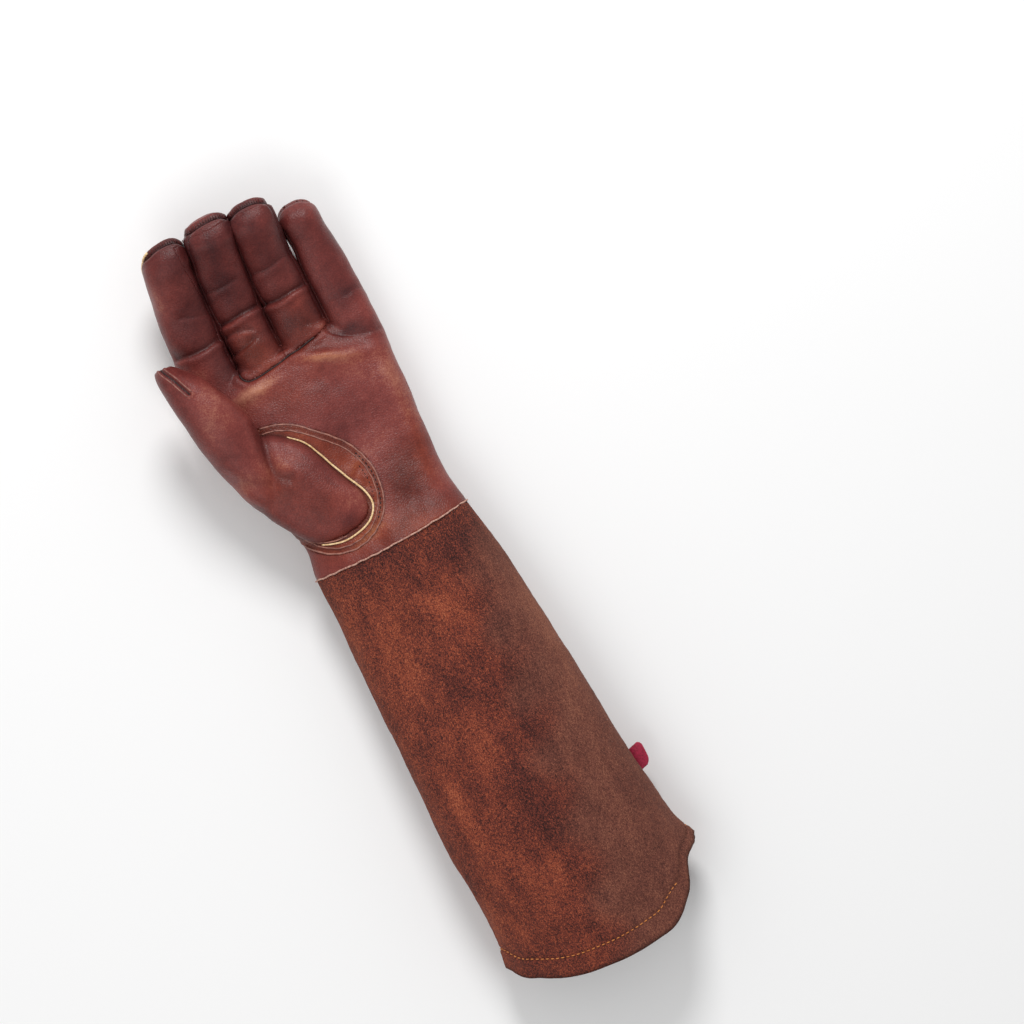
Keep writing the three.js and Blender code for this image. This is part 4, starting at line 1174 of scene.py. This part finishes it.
def hem_stitches(sheets):
    parts = []
    for panel, (grid, out) in sheets.items():
        row = (1 - stitch_inset(grid[LAST_ROW, :, 0]) / CUFF_RUN) * LAST_ROW
        below, column = row.astype(int), np.arange(COLUMNS)
        share = (row - below)[:, None]
        path = grid[below, column] * (1 - share) + grid[below + 1, column] * share
        # On the palm side they are worn away beside the corner
        runs = [(3, 8), (44, -3)] if panel == "palm" else [(3, -3)]
        for start, end in runs:
            normals = out[ROWS - 10][start:end]
            parts.append(stitches(path[start:end], normals, 2.0, 0.8, 0.3))
    points, faces = merged(parts)
    points[:, 2] = np.maximum(points[:, 2], 0.05)
    add("hem_stitches", (points, faces), ORANGE, "suede")


def thumb_welt(hand):
    ahead = np.roll(BALL_PLAN, -1, axis=0) - np.roll(BALL_PLAN, 1, axis=0)
    line = BALL_PLAN - 0.35 * left_of(ahead)
    start, foot = int(len(line) * 0.44), int(len(line) * 0.91)
    path, _ = dropped(hand, np.vstack([line[:start][::-1], line[foot:][::-1]]), 0.4)
    path = waver(smooth_path(path[::3], 150), 0.16, (9, 57), (9, 58))
    thin = 0.35 + 0.2 * np.sin(np.linspace(0, math.pi, len(path))) ** 0.5
    add("thumb_welt_cord", tube(path, thin, 10), CREAM, "cream_welt", "thumb_welt")


def patch_lines(hand):
    """The crescent patch's outer edge, its dark stitches, and the fold inside them."""
    aside = left_of(np.gradient(PATCH_PLAN, axis=0))
    inward = PATCH_PLAN.mean(axis=0) - PATCH_PLAN
    aside *= np.sign((aside * inward).sum(axis=1))[:, None]

    def edge(name, inset, radius):
        rim, _ = dropped(hand, (PATCH_PLAN + inset * aside)[1:-1], 0.12)
        rim = waver(smooth_path(rim[::2], 160), 0.18, (6, 55), (6, 56))
        add(name, tube(rim, radius), PIPING, "grain_leather")

    edge("patch_edge_outer", 0.3, 0.5)
    parts = []
    for inset, radius, high in ((1.9, 0.32, 53), (5.4, 0.22, 47)):
        shown = (PATCH_PLAN[:, 0] > -3) & (PATCH_PLAN[:, 1] < high)
        row = dropped(hand, (PATCH_PLAN + inset * aside)[shown][1:-1])
        parts.append(stitches(*row, 1.5, 1.0, radius))
    add("patch_stitches", merged(parts), DARK, "grain_leather")
    edge("patch_edge_inner", 3.3, 0.36)


def foot_cord(hand):
    line = smooth_path([(-19, 13.4), (-25, 13.7), (-32, 16), (-36, 18.5), (-40, 21.8)], 24)
    add("thumb_foot_cord", tube(dropped(hand, line, 0.3)[0], 0.38), PIPING, "cream_welt")


def side_welt(hand):
    """Piping down the index finger's seam and on down the side of the hand."""
    index = FINGERS[0]
    length, spine, up, _ = spine_of(index)
    stops = np.array([0.955, 0.935, 0.9, 0.84, 0.7, 0.55, 0.4, 0.25, 0.1])
    tip_start = 1 - DOME * index["width"] / index["free"]
    opened = 1 - np.maximum(stops - tip_start, 0) / (1 - tip_start)
    at = FINGER_ROOT + stops * index["free"]
    on_finger = read_at(at, length, spine) - read_at(at, length, up) * opened[:, None] * GUSSET / 2
    starts = [(-CLEAR, y, z) for _, y, z in on_finger]
    starts += [(-CLEAR, share * PALM_LENGTH, SEAM_LOW)
               for share in (0.95, 0.84, 0.72, 0.6, 0.48, 0.36, 0.24, 0.13, 0.04)]
    path = smooth_path(landed(hand, starts, RIGHT, 0.6)[0], 240)
    add("side_welt_cord", tube(path, 0.65, 10), CREAM, "cream_welt", "side_welt")


def wrist_edge():
    over = 0.4
    ring = ring_of(-WRIST_HALF - over, WRIST_HALF + over, WRIST_LOW - over, WRIST_HIGH + over,
                   2.3, wrist_dip, 240)
    ring = waver(ring, 0.2, (7, 51), (6, 52), (7, 53))
    add("wrist_edge", tube(ring, 0.45, 8, True, (0, 1, 0)), PALE, "pale_edge", "wrist_welt")


def seam_shade_lines(hand, thumb):
    """Thin dark lines of painted shade in the seam under the fingers and in the slit of the thumb's
    tip, and pale lines beside the slit.
    """
    line = SEAM_PLAN[SEAM_PLAN[:, 1] < PALM_LENGTH - 1]
    path = smooth_path(dropped(hand, line[::3], 0.35)[0], 160)
    slit = smooth_path(THUMB_CREASES[0][0], 24)
    # Dark strands laid as the painted shade of the seam's groove and of the slit
    shade_lines = merged([tube(path, 0.4), tube(dropped(thumb, slit)[0], 0.3)])
    add("seam_shade_lines", shade_lines, DARK, "grain_leather")
    aside = left_of(np.gradient(slit, axis=0))
    lips = [tube(dropped(thumb, (slit + side * aside)[1:])[0], 0.26, 6) for side in (-1.7, 1.7)]
    add("thumb_slit_lips", merged(lips), PIPING, "grain_leather")


def zigzag(hand):
    """The elastic's dark zigzag thread across the back of the wrist."""
    starts = [(x, ELASTIC + (3 if k % 2 else -3), -CLEAR)
              for k, x in enumerate(np.arange(-40, 40, 3.6))]
    corners, _ = landed(hand, starts, UP, 0.25)
    path = np.vstack([np.linspace(a, b, 8, endpoint=False) for a, b in zip(corners, corners[1:])])
    add("wrist_zigzag", tube(path, 0.55, 6), DARK, "grain_leather")


def build_tab():
    low, high = (np.array(corner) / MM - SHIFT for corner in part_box("size_tab"))
    middle = (low + high) / 2
    rings = []
    for share in np.linspace(-1, 1, 21):
        y = middle[1] + share * (high[1] - low[1]) / 2
        reach = high[0] - low[0] - 2.2 * abs(share) ** 5
        sag = 0.2 * math.sin(1.9 * share + 0.6)
        outer = tape_section(low[0] - 1.2, reach + 1.2, 0.95)
        inner = tape_section(low[0] - 1.2, reach + 0.7, 0.4)[::-1]
        rings.append(np.array([(x, y + 0.28 * (x - low[0]), middle[2] + sag + z)
                               for x, z in outer + inner]))
    add("size_tab_tape", loft(rings), CRIMSON, "crimson_fabric", "size_tab")


def tape_section(start, reach, half):
    """The section of a folded tape: out along the bottom, round the fold and back."""
    turn = np.linspace(-math.pi / 2, math.pi / 2, 9)
    fold = [(start + reach - half + half * math.cos(t), half * math.sin(t)) for t in turn]
    return [(start, -half * 0.8), (start + reach / 2, -half)] + fold + [
        (start + reach / 2, half), (start, half * 0.8)]


# Stage, light and camera

def build_stage():
    corners = np.array([[-2500, -2500, 0], [2500, -2500, 0], [2500, 2500, 0], [-2500, 2500, 0]])
    made, tree, shader = material("floor")
    feed(tree, shader, {"Base Color": (0.92, 0.92, 0.92, 1), "Roughness": 0.9})
    new_object("floor", corners - SHIFT, [(0, 1, 2, 3)], made)
    world = bpy.data.worlds.new("world")
    bpy.context.scene.world = world
    bpy.context.scene.view_settings.view_transform = "Standard"
    world.use_nodes = True
    sky = world.node_tree.nodes["Background"]
    feed(world.node_tree, sky, {"Color": (1, 1, 1, 1), "Strength": 0.52})
    for name, place, size, power in LIGHTS:
        data = bpy.data.lights.new(name, "AREA")
        data.shape = "DISK"
        data.size = size
        data.energy = power
        lamp = placed(name, data)
        lamp.location = place
        lamp.rotation_euler = (-Vector(place)).to_track_quat("-Z", "Y").to_euler()


# Name, place in metres, width in metres, power in watts
LIGHTS = [("key", (0.4, 1.1, 1.1), 0.55, 15), ("fill", (-0.7, -0.5, 1.3), 1.0, 5)]
CAMERA_OVER = (61.2, 10.8)
PHOTO_TURN = 27.0
VIEW_WIDTH = 532.5
LENS = 240  # the photograph shows next to no perspective


def build_camera():
    data = bpy.data.cameras.new("camera")
    data.sensor_width = 36
    data.clip_end = 20
    data.lens = LENS
    height = VIEW_WIDTH * data.lens / data.sensor_width + 12
    camera = placed("camera", data)
    camera.location = (CAMERA_OVER[0] * MM, CAMERA_OVER[1] * MM, height * MM)
    camera.rotation_euler = (0, 0, -math.radians(PHOTO_TURN))
    bpy.context.scene.camera = camera


build_camera()
build_stage()
hand = build_hand()
thumb = build_thumb(hand)
tip_stitches(hand)
seam_shade_lines(hand, thumb)
thumb_welt(hand)
patch_lines(hand)
foot_cord(hand)
side_welt(hand)
wrist_edge()
zigzag(hand)
hem_stitches(build_cuff())
build_tab()
